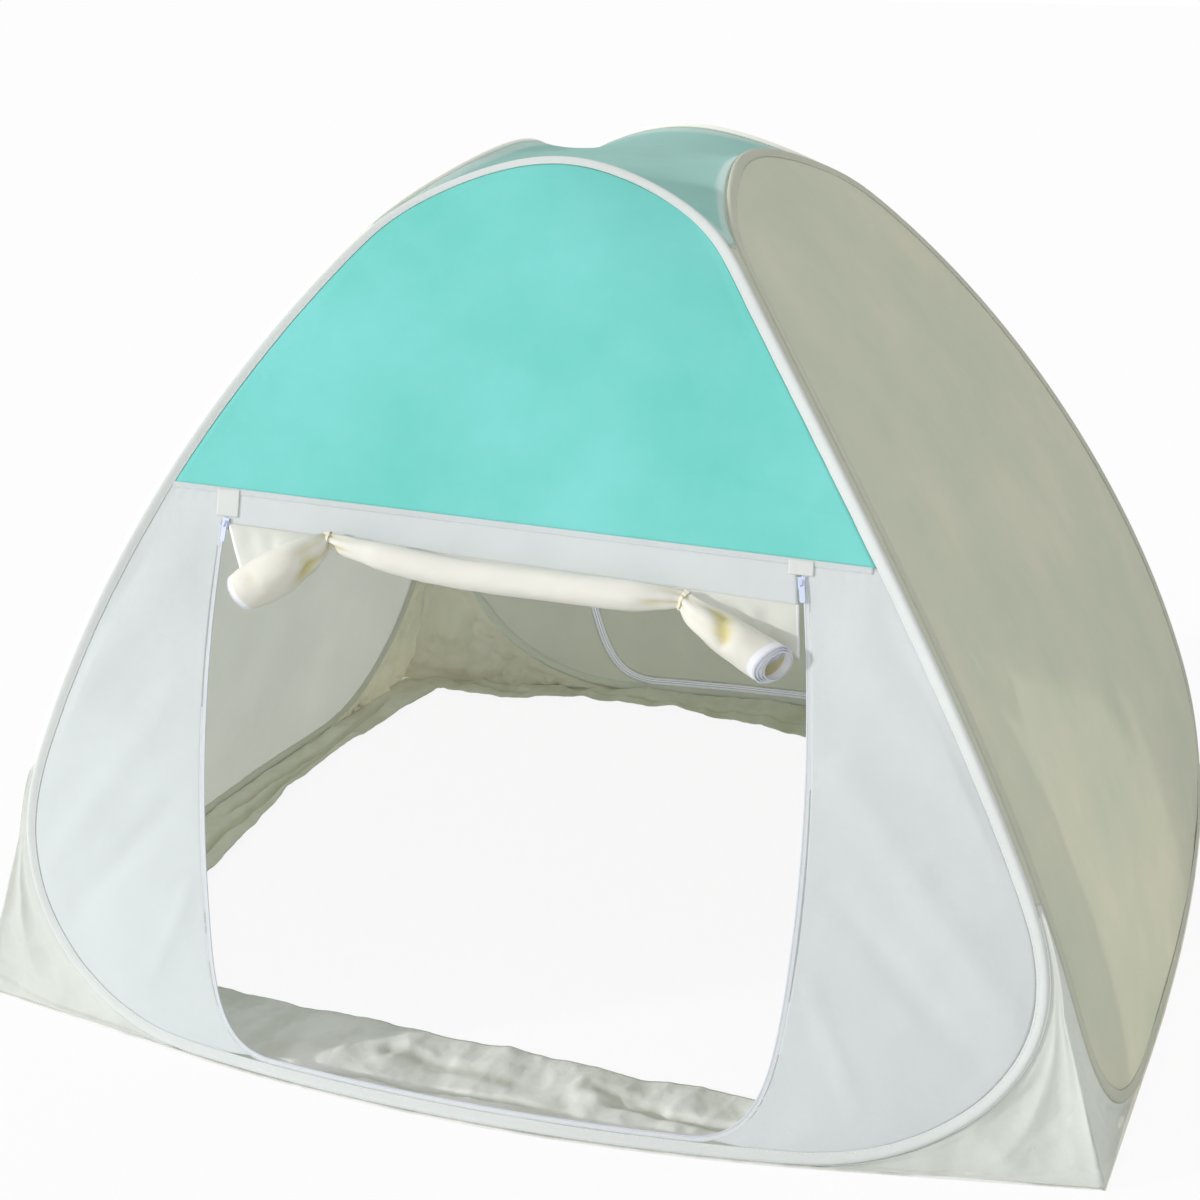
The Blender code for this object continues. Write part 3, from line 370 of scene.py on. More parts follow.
# Surface of the walls
def ridge_x(z):
    """Half width between the ridges at a height."""
    share = np.maximum(z, 0.0) / (HOOP_TOP + WIDTH_CLOSE)
    return RIDGE_HALF_WIDTH * (1 - share**WIDTH_POWER) ** WIDTH_ROOT


def ridge_y(z):
    """Half depth between the ridges at a height."""
    share = np.maximum(z, 0.0) / (HOOP_TOP + DEPTH_CLOSE)
    return RIDGE_HALF_DEPTH * (1 - share**DEPTH_POWER) ** DEPTH_ROOT


def lean(z):
    return CROWN_LEAN * (np.maximum(z, 0.0) / LEAN_HEIGHT) ** LEAN_POWER


def is_wide(face):
    return face in ("front", "back")


def skin(face, u, z):
    """The points of a wall that are u along the face and z up."""
    u, z = np.asarray(u, float), np.asarray(z, float)
    wide = is_wide(face)
    half, deep = (ridge_x(z), ridge_y(z)) if wide else (ridge_y(z), ridge_x(z))
    low = np.maximum(0.0, 1 - np.maximum(z, 0.0) / HEADER_FOOT) ** SWELL_POWER
    swell = (FRONT_SWELL if wide else SIDE_SWELL) * low
    if wide:
        swell = swell + CROWN_SWELL * np.maximum(0.0, z - CROWN_START) ** 2
    out = deep + swell * (1 - (u / half) ** 2)
    x_out, y_out = FACE_OUT[face]
    return np.stack([x_out * out - y_out * u + lean(z), y_out * out + x_out * u, z + 0 * out], axis=-1)


def skin_normal(face, u, z):
    """Outward direction of a wall at each place."""
    u, z, step = np.asarray(u), np.asarray(z), 1e-4
    along = skin(face, u + step, z) - skin(face, u - step, z)
    up = skin(face, u, z + step) - skin(face, u, z - step)
    return unit(np.cross(along, up))


def off_skin(face, u, z, away):
    """Points that stand off a wall by a distance."""
    return skin(face, u, z) + skin_normal(face, u, z) * np.asarray(away)[..., None]


def chart(face, points):
    """The (u, z) of points that lie on a wall."""
    x, y, z = np.moveaxis(np.asarray(points, float), -1, 0)
    x_out, y_out = FACE_OUT[face]
    return np.stack([x_out * y - y_out * (x - lean(z)), z], axis=-1)


def front_foot(u):
    """Height of the front header's lower edge, which hangs a little lower on the right."""
    return HEADER_FOOT - HEADER_FOOT_DROP - HEADER_FOOT_SLOPE * np.asarray(u, float)


# Hoops, as smooth closed lines
def hoop_outline(face):
    """Outline of a whole hoop in (u, z), round from the middle of its floor run, at equal steps."""
    ridge = ridge_x if is_wide(face) else ridge_y
    top = HOOP_TOP if is_wide(face) else HOOP_TOP - SIDE_HOOP_DROP
    rise, foot, shoulder = HOOP_RISE[face], HOOP_FOOT[face], HOOP_TOP - SHOULDER_DROP
    turn = np.linspace(math.pi / 2, 0, 60)
    z = rise - (rise - FLOOR_LINE) * np.sin(turn)
    corner = np.stack([foot + (ridge(z) - SLEEVE_SETBACK - foot) * np.cos(turn), z], axis=1)
    z = np.linspace(rise, shoulder, 80)
    side = np.stack([ridge(z) - SLEEVE_SETBACK, z], axis=1)
    turn = np.linspace(0, math.pi / 2, 60)
    z = shoulder + (top - shoulder) * np.sin(turn)
    crown = np.stack([(ridge(z) - SLEEVE_SETBACK) * np.cos(turn), z], axis=1)
    half = np.vstack([[(0.0, FLOOR_LINE)], corner, side[1:-1], crown])
    mirrored = half[-2:0:-1] * np.array([-1, 1])
    whole = np.vstack([half, mirrored, half[:1]])
    spaced = resample(whole, HOOP_POINTS + 1)[:-1]
    spread = 3
    reach = np.arange(-3 * spread, 3 * spread + 1)
    weights = np.exp(-((reach / spread) ** 2) / 2)
    weights /= weights.sum()
    soft = sum(w * np.roll(spaced, int(r), axis=0) for w, r in zip(weights, reach))
    soft[:, 1] = np.maximum(soft[:, 1], FLOOR_LINE)
    return soft


def hoop_rows(face):
    """Points, inward and outward-facing directions all round a hoop."""
    outline = hoop_outline(face)
    points = skin(face, outline[:, 0], outline[:, 1])
    along = unit(np.roll(points, -1, axis=0) - np.roll(points, 1, axis=0))
    normal = skin_normal(face, outline[:, 0], outline[:, 1])
    inward = unit(np.cross(normal, along))
    return points, inward, unit(np.cross(along, inward))


HOOPS = {face: hoop_rows(face) for face in FACES}


def half_line(face, side, inward=0.0, normal=0.0):
    """Points beside one half of a hoop, from the middle of its floor run to its top."""
    points, inside, out = HOOPS[face]
    line = points + inside * inward + out * normal
    count = HOOP_POINTS // 2
    return line[: count + 1] if side > 0 else np.vstack([line[:1], line[:count - 1 : -1]])


# Materials
def linear(hex_colour):
    """A written colour as the shader's own linear values."""
    parts = [int(hex_colour[i : i + 2], 16) / 255 for i in (0, 2, 4)]
    return [p / 12.92 if p <= 0.04045 else ((p + 0.055) / 1.055) ** 2.4 for p in parts]


def tinted(colour, factor):
    return (*(min(1.0, c * factor) for c in colour), 1.0)


def set_sockets(node, **values):
    """Constants on a node's sockets; an underscore stands for a space in a socket's name."""
    for name, value in values.items():
        node.inputs[name.replace("_", " ")].default_value = value


def add_node(tree, kind, **values):
    node = tree.nodes.new(f"ShaderNode{kind}")
    set_sockets(node, **values)
    return node


def join(one, output, two, socket):
    one.id_data.links.new(one.outputs[output], two.inputs[socket])


def blend(one, two, output, **share):
    """Links a mix of two shaders to an output."""
    mix = add_node(output.id_data, "MixShader", **share)
    join(one, 0, mix, 1)
    join(two, 0, mix, 2)
    join(mix, "Shader", output, "Surface")
    return mix


def new_material(name):
    made = bpy.data.materials.new(name)
    made.use_nodes = True
    tree = made.node_tree
    return made, tree, tree.nodes["Principled BSDF"], tree.nodes["Material Output"]


def cloth_material(name, colour, thin, weave, lumps, stain, other=None, deep=None):
    """Woven polyester: fine threads, small puckers, soft colour changes, and some light through it."""
    made, tree, shader, output = new_material(name)
    set_sockets(shader, Roughness=0.82, Sheen_Weight=0.12, Sheen_Roughness=0.5, Specular_IOR_Level=0.25)
    place = add_node(tree, "TexCoord")
    broad = add_node(tree, "TexNoise", Scale=3.2, Detail=5.0, Roughness=0.62)
    join(place, "Object", broad, "Vector")
    ramp = add_node(tree, "ValToRGB")
    first, last = ramp.color_ramp.elements
    first.position, last.position = 0.32, 0.68
    first.color = tinted(linear(other or colour), 1 - stain)
    last.color = tinted(linear(colour), 1 + stain * 0.4)
    join(broad, "Fac", ramp, "Fac")
    tone = (ramp, "Color")
    # Painted shade: a per-point share mixes in the deep colour, mostly in the valleys of folds; on the roof
    # that colour is lighter, a painted highlight along the hem.
    if deep:
        depth = add_node(tree, "Attribute")
        depth.attribute_name = "painted_shading"
        valley = add_node(tree, "MixRGB", Color2=tinted(linear(deep), 1.0))
        join(depth, "Fac", valley, "Fac")
        join(*tone, valley, "Color1")
        tone = (valley, "Color")
    join(*tone, shader, "Base Color")
    weft = add_node(tree, "Math")
    weft.operation = "MULTIPLY"
    for number, direction in enumerate("XY"):
        wave = add_node(tree, "TexWave", Scale=0.314 / weave, Distortion=0.6, Detail=1.0)
        wave.bands_direction = direction
        join(place, "UV", wave, "Vector")
        join(wave, "Fac", weft, number)
    fine = add_node(tree, "Bump", Strength=0.12, Distance=0.0002)
    join(weft, "Value", fine, "Height")
    pucker = add_node(tree, "TexNoise", Scale=34.0, Detail=6.0, Roughness=0.55, Distortion=0.8)
    join(place, "Object", pucker, "Vector")
    soft = add_node(tree, "Bump", Strength=lumps, Distance=0.004)
    join(pucker, "Fac", soft, "Height")
    join(fine, "Normal", soft, "Normal")
    join(soft, "Normal", shader, "Normal")
    if thin:
        through = add_node(tree, "BsdfTranslucent")
        join(*tone, through, "Color")
        join(soft, "Normal", through, "Normal")
        blend(shader, through, output, Fac=thin)
    return made


def hard_material(name, colour, rough, metallic, grain):
    """Painted or bare metal and moulded nylon, with fine scratches and uneven polish."""
    made, tree, shader, _ = new_material(name)
    set_sockets(shader, Base_Color=tinted(linear(colour), 1.0), Metallic=metallic)
    marks = add_node(tree, "TexNoise", Scale=grain, Detail=6.0)
    polish = add_node(tree, "MapRange", To_Min=rough * 0.75, To_Max=min(1.0, rough * 1.3))
    dents = add_node(tree, "Bump", Strength=0.12, Distance=0.0003)
    join(add_node(tree, "TexCoord"), "Object", marks, "Vector")
    join(marks, "Fac", polish, "Value")
    join(polish, "Result", shader, "Roughness")
    join(marks, "Fac", dents, "Height")
    join(dents, "Normal", shader, "Normal")
    return made


# Pitch of each weave
PLAIN, TWILL, TAPE = 0.0011, 0.0016, 0.0014
# Cloths: colour, share of light through them, pitch of the weave, puckers, colour changes, their other colour,
# and the colour of painted shade in the valleys of folds and the roll's hollow ends (on the roof, a lighter
# painted highlight along its hem)
CLOTHS = {
    "teal_cloth": ("9CEDEA", 0.42, PLAIN, 0.10, 0.03, "8CEAE2"),
    "white_cloth": ("EFF3F4", 0.48, PLAIN, 0.16, 0.03),
    "side_cloth": ("EDEDE3", 0.52, PLAIN, 0.16, 0.04, "E9ECE4"),
    # left_cloth and right_cloth are copies of side_cloth: the left one greyer and more see-through, painted
    # light for the sunlit left wall; the right one darker, warmer and less see-through, painted shade for the
    # right wall.
    "left_cloth": ("ECEDE9", 0.54, PLAIN, 0.16, 0.04),
    "right_cloth": ("E7E5D5", 0.41, PLAIN, 0.16, 0.04, "DFE4D2"),
    "roof_cloth": ("C2E8E4", 0.56, PLAIN, 0.12, 0.05, None, "EEF6F4"),
    "binding": ("EFF3F1", 0.35, TWILL, 0.30, 0.03),
    # side_binding and inner_binding are copies of binding: side_binding greige and darker, painted shade for
    # the right hoop; inner_binding lighter and nearly opaque, painted light so the back and left hoops read
    # light from inside.
    "side_binding": ("E4E6D8", 0.45, TWILL, 0.30, 0.04),
    "inner_binding": ("F8F8EE", 0.04, TWILL, 0.30, 0.03),
    "skirt_cloth": ("F8F6E8", 0.06, PLAIN, 0.30, 0.06, None, "E0DBC2"),
    "skirt_white": ("F8F8F4", 0.12, PLAIN, 0.25, 0.04, None, "D9DAD0"),
    "gusset_cloth": ("F1F4F0", 0.48, PLAIN, 0.30, 0.05),
    # The back gussets' copy of gusset_cloth, warmer and less see-through; its deep colour is painted shade for
    # their creases.
    "back_gusset_cloth": ("F8F6EA", 0.34, PLAIN, 0.20, 0.03, None, "DFDBC6"),
    # roll_cloth's deep colour is the yellow painted shade of the roll's folds and hollow ends.
    "roll_cloth": ("F4F3EB", 0.24, PLAIN, 0.22, 0.03, None, "E2D99C"),
    "door_cloth": ("F1F2EC", 0.42, PLAIN, 0.20, 0.03),
    "cord_cloth": ("F0EBD2", 0.05, TWILL, 0.30, 0.04),
    "placket_cloth": ("F2F4F2", 0.42, TWILL, 0.30, 0.03),
    "zip_tape": ("FAFCFF", 0.60, TAPE, 0.10, 0.02),
    # roll_tape is a less see-through copy of zip_tape, painted light so the tape on the roll's ends reads
    # white in their shade.
    "roll_tape": ("F7F8FB", 0.12, TAPE, 0.10, 0.03),
    "thread": ("F2F2EC", 0.0, 0.0006, 0.2, 0.05),
}
# Metal and nylon: colour, roughness, share of metal, scale of the scratches
HARD = {
    "zip_enamel": ("C8D2EA", 0.34, 0.0, 420.0),
    "spring_steel": ("8E9196", 0.32, 1.0, 260.0),
    "nylon": ("DADFE8", 0.42, 0.0, 500.0),
}
FINISH = {name: cloth_material(name, *look) for name, look in CLOTHS.items()}
FINISH.update((name, hard_material(name, *look)) for name, look in HARD.items())
# Each hoop's binding finish: the right hoop's is darkened as painted shade, the back and left ones lightened
# as painted light for their insides.
BINDING_FINISH = {
    "front": "binding",
    "right": "side_binding",
    "back": "inner_binding",
    "left": "inner_binding",
}


# Makers of pieces
def cells(rows):
    """The four corners of every cell of a grid."""
    return rows[:-1, :-1], rows[:-1, 1:], rows[1:, 1:], rows[1:, :-1]


def grid_mesh(name, points, loop_rows=False, loop_columns=False):
    """A smooth mesh through rows of points, with its own threads' coordinates in metres."""
    rows, columns = points.shape[:2]
    index = np.arange(rows * columns).reshape(rows, columns)
    u = arc_lengths(points[rows // 2])
    v = arc_lengths(points[:, columns // 2])
    if loop_rows:
        index = np.vstack([index, index[:1]])
        v = np.append(v, v[-1] * rows / (rows - 1))
    if loop_columns:
        index = np.hstack([index, index[:, :1]])
        u = np.append(u, u[-1] * columns / (columns - 1))
    quads = np.stack(cells(index), axis=-1).reshape(-1, 4)
    mesh = bpy.data.meshes.new(name)
    mesh.from_pydata(points.reshape(-1, 3).tolist(), [], quads.tolist())
    uv = np.stack(cells(np.stack(np.meshgrid(u, v), axis=-1)), axis=2)
    mesh.uv_layers.new(name="threads").data.foreach_set("uv", uv.reshape(-1).astype(np.float32))
    mesh.shade_smooth()
    return mesh


def block_mesh(name, corners, faces):
    """A mesh that repeats one block's faces over every row of corners."""
    size = corners.shape[1]
    every = [tuple(size * number + i for i in face) for number in range(len(corners)) for face in faces]
    mesh = bpy.data.meshes.new(name)
    mesh.from_pydata(corners.reshape(-1, 3).tolist(), [], every)
    return mesh


def link_object(name, data):
    obj = bpy.data.objects.new(name, data)
    bpy.context.scene.collection.objects.link(obj)
    return obj


def add_piece(name, mesh, slot, body, nodes=(), finish=None):
    """Links a mesh as a piece that rides on a body and stands for the named solids."""
    obj = link_object(name, mesh)
    if not mesh.materials:
        mesh.materials.append(FINISH[finish or slot])
    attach(obj, body)
    if nodes:
        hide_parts(*nodes)
    return obj


def carry_painted_shading(mesh, share):
    """Writes each point's share of the cloth's painted shade colour, high in the valleys of folds; on the roof
    it is a painted highlight along the hem.
    """
    depth = mesh.attributes.new("painted_shading", "FLOAT", "POINT")
    depth.data.foreach_set("value", share.reshape(-1).astype(np.float32))


def cloth_piece(name, points, slot, body="tent", nodes=None, thick=SHEET_THICK,
                loop_rows=False, finish=None, deep=None):
    """A sheet of cloth through rows of points, thickened to both sides."""
    mesh = grid_mesh(f"{name}_cloth", points, loop_rows)
    obj = add_piece(f"{name}_cloth", mesh, slot, body, (name,) if nodes is None else nodes, finish)
    # Each point's share of painted shade (on the roof, of a painted highlight).
    if deep is not None:
        carry_painted_shading(mesh, deep)
    thicken(obj, thick)
    declare_sheet(points, loop_rows)


def thicken(obj, thick):
    solid = obj.modifiers.new("thickness", "SOLIDIFY")
    solid.thickness = thick
    solid.offset = 0.0


def declare_sheet(points, loop_rows=False):
    """Works out a sheet's flat cut: its longest rows and columns, and the area between them, and keeps none of
    it.
    """
    whole = np.vstack([points, points[:1]]) if loop_rows else points
    a, b = whole[1:, :-1] - whole[:-1, :-1], whole[:-1, 1:] - whole[:-1, :-1]
    area = float(np.linalg.norm(np.cross(a, b), axis=-1).sum())
    wide = max(arc_lengths(row)[-1] for row in points)
    tall = max(arc_lengths(points[:, j])[-1] for j in range(points.shape[1]))
    tall = min(max(tall, area / wide), area / (LEAST_FILL * wide))


def coons(bottom, top, left, right):
    """Rows of points inside four border lines that meet at their ends."""
    s = np.linspace(0, 1, len(bottom))[None, :, None]
    t = np.linspace(0, 1, len(left))[:, None, None]
    ruled = (1 - t) * bottom[None] + t * top[None] + (1 - s) * left[:, None] + s * right[:, None]
    low, high = ((1 - s) * line[0] + s * line[-1] for line in (bottom, top))
    return ruled - (1 - t) * low - t * high


def edge_distances(points):
    """Distance of each grid point from the grid's side edges and from its end edges, and both arc lengths."""
    wide = np.linalg.norm(np.diff(points, axis=1), axis=-1)
    tall = np.linalg.norm(np.diff(points, axis=0), axis=-1)
    along_u = np.concatenate([np.zeros((len(points), 1)), np.cumsum(wide, axis=1)], axis=1)
    along_v = np.concatenate([np.zeros((1, points.shape[1])), np.cumsum(tall, axis=0)], axis=0)
    side = np.minimum(along_u, along_u[:, -1:] - along_u)
    end = np.minimum(along_v, along_v[-1:] - along_v)
    return side, end, along_u, along_v


def tension(points, seed, soft=0.0016, size=0.16, pucker=0.0007, reach=0.028):
    """How far taut cloth stands off its plain surface: soft lumps inside, small puckers along its seams."""
    side, end, along_u, along_v = edge_distances(points)
    inside = smooth_step(np.minimum(side, end) / 0.05)
    lumps = soft * inside * (crumple(points, size, seed) + 0.4 * crumple(points, size / 2.6, seed + 1))
    for distance, along in ((side, along_v), (end, along_u)):
        wobble = 1.6 * crumple(points, 0.07, seed + 2)
        wave = np.sin(2 * math.pi * along / 0.021 + 3 * wobble) * (0.55 + 0.45 * wobble)
        lumps = lumps + pucker * wave * np.exp(-distance / reach) * smooth_step(distance / 0.010)
    return lumps


def wall_grid(face, borders, shape, seed, folds, **look):
    """Points of a wall's cloth, with its folds, inside four border lines of (u, z)."""
    rows, columns = shape
    bottom, top = (resample(line, columns) for line in borders[:2])
    left, right = (resample(line, rows) for line in borders[2:])
    u, z = np.moveaxis(coons(bottom, top, left, right), -1, 0)
    flat = skin(face, u, z)
    side, end, _, _ = edge_distances(flat)
    away = tension(flat, seed, **look) + folds(u, z) * smooth_step(np.minimum(side, end) / 0.03)
    return off_skin(face, u, z, away)


# Bindings round the hoops
def binding_section():
    """Half turned tape in (inward, normal): a round channel over the wire, a groove at the stitches, a lip."""
    half = [(0.0200, 0.0009), (0.0186, 0.0013), (0.0168, 0.0015), (0.0150, 0.0024), (0.0122, 0.0035),
            (0.0094, 0.0045), (0.0066, 0.0051), (0.0040, 0.0049), (0.0018, 0.0036), (0.0005, 0.0018)]
    return np.array([*half, (0.0, 0.0), *((w, -n) for w, n in reversed(half))])


def stitch_line(name, line, normals, body, pitch=STITCH_PITCH):
    """Stitches along a line of points on a cloth, each a flat four-sided spindle of thread, as one piece."""
    reach = arc_lengths(line)
    places = np.arange(pitch / 2, reach[-1] - pitch, pitch)
    starts, ends = (at_places(row, reach, line) for row in (places, places + pitch * STITCH_SHARE))
    up = unit(at_places(places, reach, normals))
    across = unit(np.cross(up, ends - starts)) * THREAD_RADIUS
    lift = unit(up) * THREAD_RADIUS
    middle = (starts + ends) / 2
    ring = [middle + across, middle + lift, middle - across, middle - lift * 0.5]
    faces = []
    for one, two in ((1, 2), (2, 3), (3, 4), (4, 1)):
        faces += [(0, two, one), (5, one, two)]
    mesh = block_mesh(name, np.stack([starts, *ring, ends], axis=1), faces)
    mesh.shade_smooth()
    return add_piece(name, mesh, "binding", body, finish="thread")


def make_bindings():
    w, n = binding_section().T
    lip = w / w.max()
    for number, face in enumerate(FACES):
        points, inward, normal = HOOPS[face]
        wobble = crumple(points, 0.055, 40 + number)[:, None]
        ripple = crumple(points * np.array([1, 1, 1.3]), 0.017, 60 + number)[:, None]
        deep = w + lip * 0.0007 * (wobble + 0.5 * ripple)
        thick = n * (1 + 0.10 * (wobble * 0.6 + ripple) * lip)
        rows = points[:, None] + inward[:, None] * deep[..., None] + normal[:, None] * thick[..., None]
        cloth_piece(f"{face}_hoop_sleeve", rows, "binding",
                    thick=BINDING_THICK, loop_rows=True, finish=BINDING_FINISH[face])
        for sign, place in ((1, "outer"), (-1, "inner")):
            line = points + inward * BINDING_STITCHES[0] + normal * sign * BINDING_STITCHES[1]
            line, up = (np.vstack([rows, rows[:1]]) for rows in (line, normal * sign))
            stitch_line(f"{face}_binding_stitches_{place}", line, up, "tent")


def make_wires():
    """Each hoop's sprung wire, as a round tube inside the fold of its binding."""
    turn = np.linspace(0, 2 * math.pi, WIRE_SIDES + 1)[:-1, None]
    for face in FACES:
        points, inward, normal = HOOPS[face]
        spokes = inward[:, None] * np.cos(turn) + normal[:, None] * np.sin(turn)
        rows = (points + inward * WIRE_SEAT)[:, None] + spokes * WIRE_RADIUS
        mesh = grid_mesh(f"{face}_wire", rows, loop_rows=True, loop_columns=True)
        add_piece(f"{face}_wire", mesh, "spring_steel", "tent", (f"{face}_hoop_wire",))


def make_ridges():
    """The narrow strips that join two neighbouring hoops from a gusset's tip to the roof's."""
    share = np.linspace(0, 1, 7)[:, None]
    for sx, sy, name in CORNERS:
        faces = corner_faces(sx, sy)
        low = max(HOOP_RISE[face] for face, _ in faces) - 0.02
        heights = np.linspace(low, HOOP_TOP - SHOULDER_DROP + 0.01, 150)
        one, two = (at_heights(heights, half_line(face, side, RIDGE_BITE)) for face, side in faces)
        ripple = 1 + 0.5 * crumple(one, 0.03, 160 + sx + 2 * sy)
        bow = RIDGE_BOW * np.sin(math.pi * share) * ripple[:, None, None]
        rows = one[:, None] * (1 - share) + two[:, None] * share + corner_out(sx, sy) * bow
        # The ridge strips take the same copies: painted shade at the front right, painted light inside
        # elsewhere.
        finish = "side_binding" if name == "front_right" else "inner_binding"
        cloth_piece(f"{name}_ridge", rows, "binding", nodes=(), finish=finish)


# Zip lines
def circle_through(a, b, c):
    """Centre and axis of the circle through three points."""
    one, two = b - a, c - a
    normal = np.cross(one, two)
    reach = one @ one * np.cross(two, normal) + two @ two * np.cross(normal, one)
    return a + reach / (2 * normal @ normal), unit(normal)


def zip_u(z):
    return ZIP_HALF_WIDTH - ZIP_TAPER * (np.asarray(z, float) - ZIP_WAIST_HEIGHT) ** 2


def zip_half(face, side, top_height):
    """One half of a door's zip line, from its top to the middle of the bottom run: points and directions."""
    heights = np.array([ZIP_TOP, (ZIP_TOP + ZIP_SIDE_END) / 2, ZIP_SIDE_END])
    top, middle, end = skin(face, side * zip_u(heights), heights)
    centre, axis = circle_through(top, middle, end)
    spoke, last = top - centre, end - centre
    sweep = math.acos(float(unit(spoke) @ unit(last)))
    if np.cross(spoke, last) @ axis < 0:
        axis = -axis
    turns = (Matrix.Rotation(angle, 3, Vector(axis)) for angle in np.linspace(0, sweep, 160))
    arc = np.array([centre + turn @ Vector(spoke) for turn in turns])
    arc = arc[arc[:, 2] <= top_height + 1e-4]
    start = chart(face, arc[-1])
    step = HOOP_FOOT[face] / FLOOR_PARTS
    foot = step * math.floor(ZIP_FLAT_REACH / step)
    a = np.array([abs(start[0]), start[1]])
    b = a + np.array([2 * ZIP_TAPER * (ZIP_WAIST_HEIGHT - a[1]) * -ZIP_CORNER_DROP, -ZIP_CORNER_DROP])
    d = np.array([foot, ZIP_BOTTOM])
    c = d + np.array([ZIP_CORNER_RUN, 0])
    t = np.linspace(0, 1, 60)[1:, None]
    curve = (1 - t) ** 3 * a + 3 * (1 - t) ** 2 * t * b + 3 * (1 - t) * t * t * c + t**3 * d
    low = np.vstack([curve, np.linspace(d, (0, ZIP_BOTTOM), 60)[1:]])
    points = np.vstack([arc, skin(face, side * low[:, 0], low[:, 1])])
    normal = skin_normal(face, *chart(face, points).T)
    away = unit(np.cross(normal, unit(np.gradient(points, axis=0)))) * side
    return points, away, normal


def zip_whole(face, top_height=ZIP_TOP):
    """The whole zip line, from the top of the +u side round to the top of the -u side."""
    one, two = (zip_half(face, side, top_height) for side in (1, -1))
    return [np.vstack([a, b[-2::-1]]) for a, b in zip(one, two)]


def teeth(name, line, away, normal, body, near=BEAD_NEAR, far=BEAD_FAR):
    """The coil of a zip: a row of small bevelled blocks along a line, from near to far beside it."""
    reach = arc_lengths(line)
    places = np.arange(TOOTH_PITCH, reach[-1] - TOOTH_PITCH, TOOTH_PITCH)
    centre = at_places(places, reach, line)
    out, up = (unit(at_places(places, reach, rows)) for rows in (away, normal))
    along = unit(np.cross(up, out)) * TOOTH_PITCH * 0.30
    shape = []
    bevelled = (near, 0.55, 0.8), (far, 0.55, 0.8), (far - 0.0006, 1.0, 1.0), (near + 0.0005, 1.0, 1.0)
    for w, h, thin in bevelled:
        shape += [(w, h * BEAD_HALF, thin), (w, h * BEAD_HALF, -thin)]
    shape += [(w, -h, thin) for w, h, thin in shape[4:] + shape[:4]]
    corners = np.stack([centre + out * w + up * h + along * t for w, h, t in shape], axis=1)
    # The corners at the block's two ends, in order round it
    first = np.array([0, 6, 4, 2, 14, 8, 10, 12])
    after = np.roll(first, -1)
    faces = [*np.stack([first, first + 1, after + 1, after], axis=1), first[::-1], first + 1]
    faces = [face.tolist() for face in faces]
    mesh = block_mesh(name, corners, faces)
    mesh.shade_flat()
    return add_piece(name, mesh, "zip_tape", body, finish="nylon")


def make_zip_tapes():
    jobs = (("front", "frame", "tent", ZIP_TOP), ("back", "frame", "tent", ZIP_TOP),
            ("back", "door", "back_flap", HEADER_FOOT - EDGE_GAP))
    across = np.array(TAPE_COLUMNS)[:, None]
    for number, (face, edge, body, top) in enumerate(jobs):
        side = 1 if edge == "frame" else -1
        line, away, normal = zip_whole(face, top)
        reach = arc_lengths(line)
        places = np.linspace(0, reach[-1], 620)
        centre, out, up = (at_places(places, reach, rows) for rows in (line, away, normal))
        out, up = side * unit(out), unit(up)
        wobble = crumple(centre, 0.05, 80 + number) * 0.00025
        rows = centre[:, None] + out[:, None] * across + (up * wobble[:, None])[:, None]
        coil = teeth(f"{face}_{edge}_zip_coil", line, away * side, normal, body)
        name = f"{face}_zip_{edge}_tape"
        seam = centre + out * TAPE_STITCHES[0] + up * TAPE_STITCHES[1]
        thread = stitch_line(f"{name}_stitches", seam, up, body, SHORT_PITCH)
        cloth_piece(name, rows, "zip_tape", body=body, thick=TAPE_THICK)


# Walls
def mouth_chart(face, side):
    return chart(face, half_line(face, side, EDGE_IN_MOUTH))


def flip(line):
    return line * np.array([-1, 1])


def over_middle(half):
    """A whole line over a wall's middle, from its +u half, which runs up to the middle."""
    return np.vstack([flip(half), half[-2::-1]])


def make_side_panel(face, seed):
    line = mouth_chart(face, 1)
    crown = stretch_of(line, CROWN_JOIN, ABOVE_TOP)
    reach = np.searchsorted(line[:, 0], HOOP_FOOT[face] * SIDE_FOOT_SHARE)
    rest = line[reach:]
    side = np.vstack([rest[rest[:, 1] < CROWN_JOIN - 1e-4], crown[:1]])

    def folds(u, z):
        lean_way = 1 if face == "right" else -1
        waves = 0.0030 * np.sin(9 * u * lean_way + 4.5 * z) * np.exp(-(((z - 0.35) / 0.5) ** 2))
        return folded(u, z, FOLDS["side_foot"], total=folded(u, z, FOLDS["side"], lean_way, waves))

    borders = over_middle(line[reach::-1]), over_middle(crown), flip(side), side
    grid = wall_grid(face, borders, (150, 110), seed, folds, soft=0.0020, size=0.20)
    # The left and right walls take their own copies of the side cloth: painted light on the left, painted
    # shade on the right.
    cloth_piece(f"{face}_panel", grid, "side_cloth", finish=f"{face}_cloth")


def make_upper_panel(face, finish, seed):
    line = mouth_chart(face, 1)
    sides = []
    for sign in (-1, 1):
        start = SEAM_HEIGHT + EDGE_GAP - SEAM_SLOPE[face] * sign * UPPER_SEAM_END
        sides.append(stretch_of(line, start, CROWN_JOIN) * np.array([sign, 1]))
    bottom = np.linspace(sides[0][0], sides[1][0], 90)
    top = over_middle(stretch_of(line, CROWN_JOIN, ABOVE_TOP))

    def folds(u, z):
        waves = 0.0012 * np.sin(14 * u + 5 * z)
        return folded(u, z, FOLDS["upper"], -1, folded(u, z, FOLDS["upper"], 1, waves))

    borders = bottom, top, *sides
    grid = wall_grid(face, borders, (100, 120), seed, folds, soft=0.0014, size=0.22, pucker=0.0005)
    cloth_piece(f"{face}_upper_panel", grid, finish)


def zip_edge(face, side, away_distance, top_height):
    line, away, _ = zip_half(face, side, top_height)
    return chart(face, line + away * away_distance)


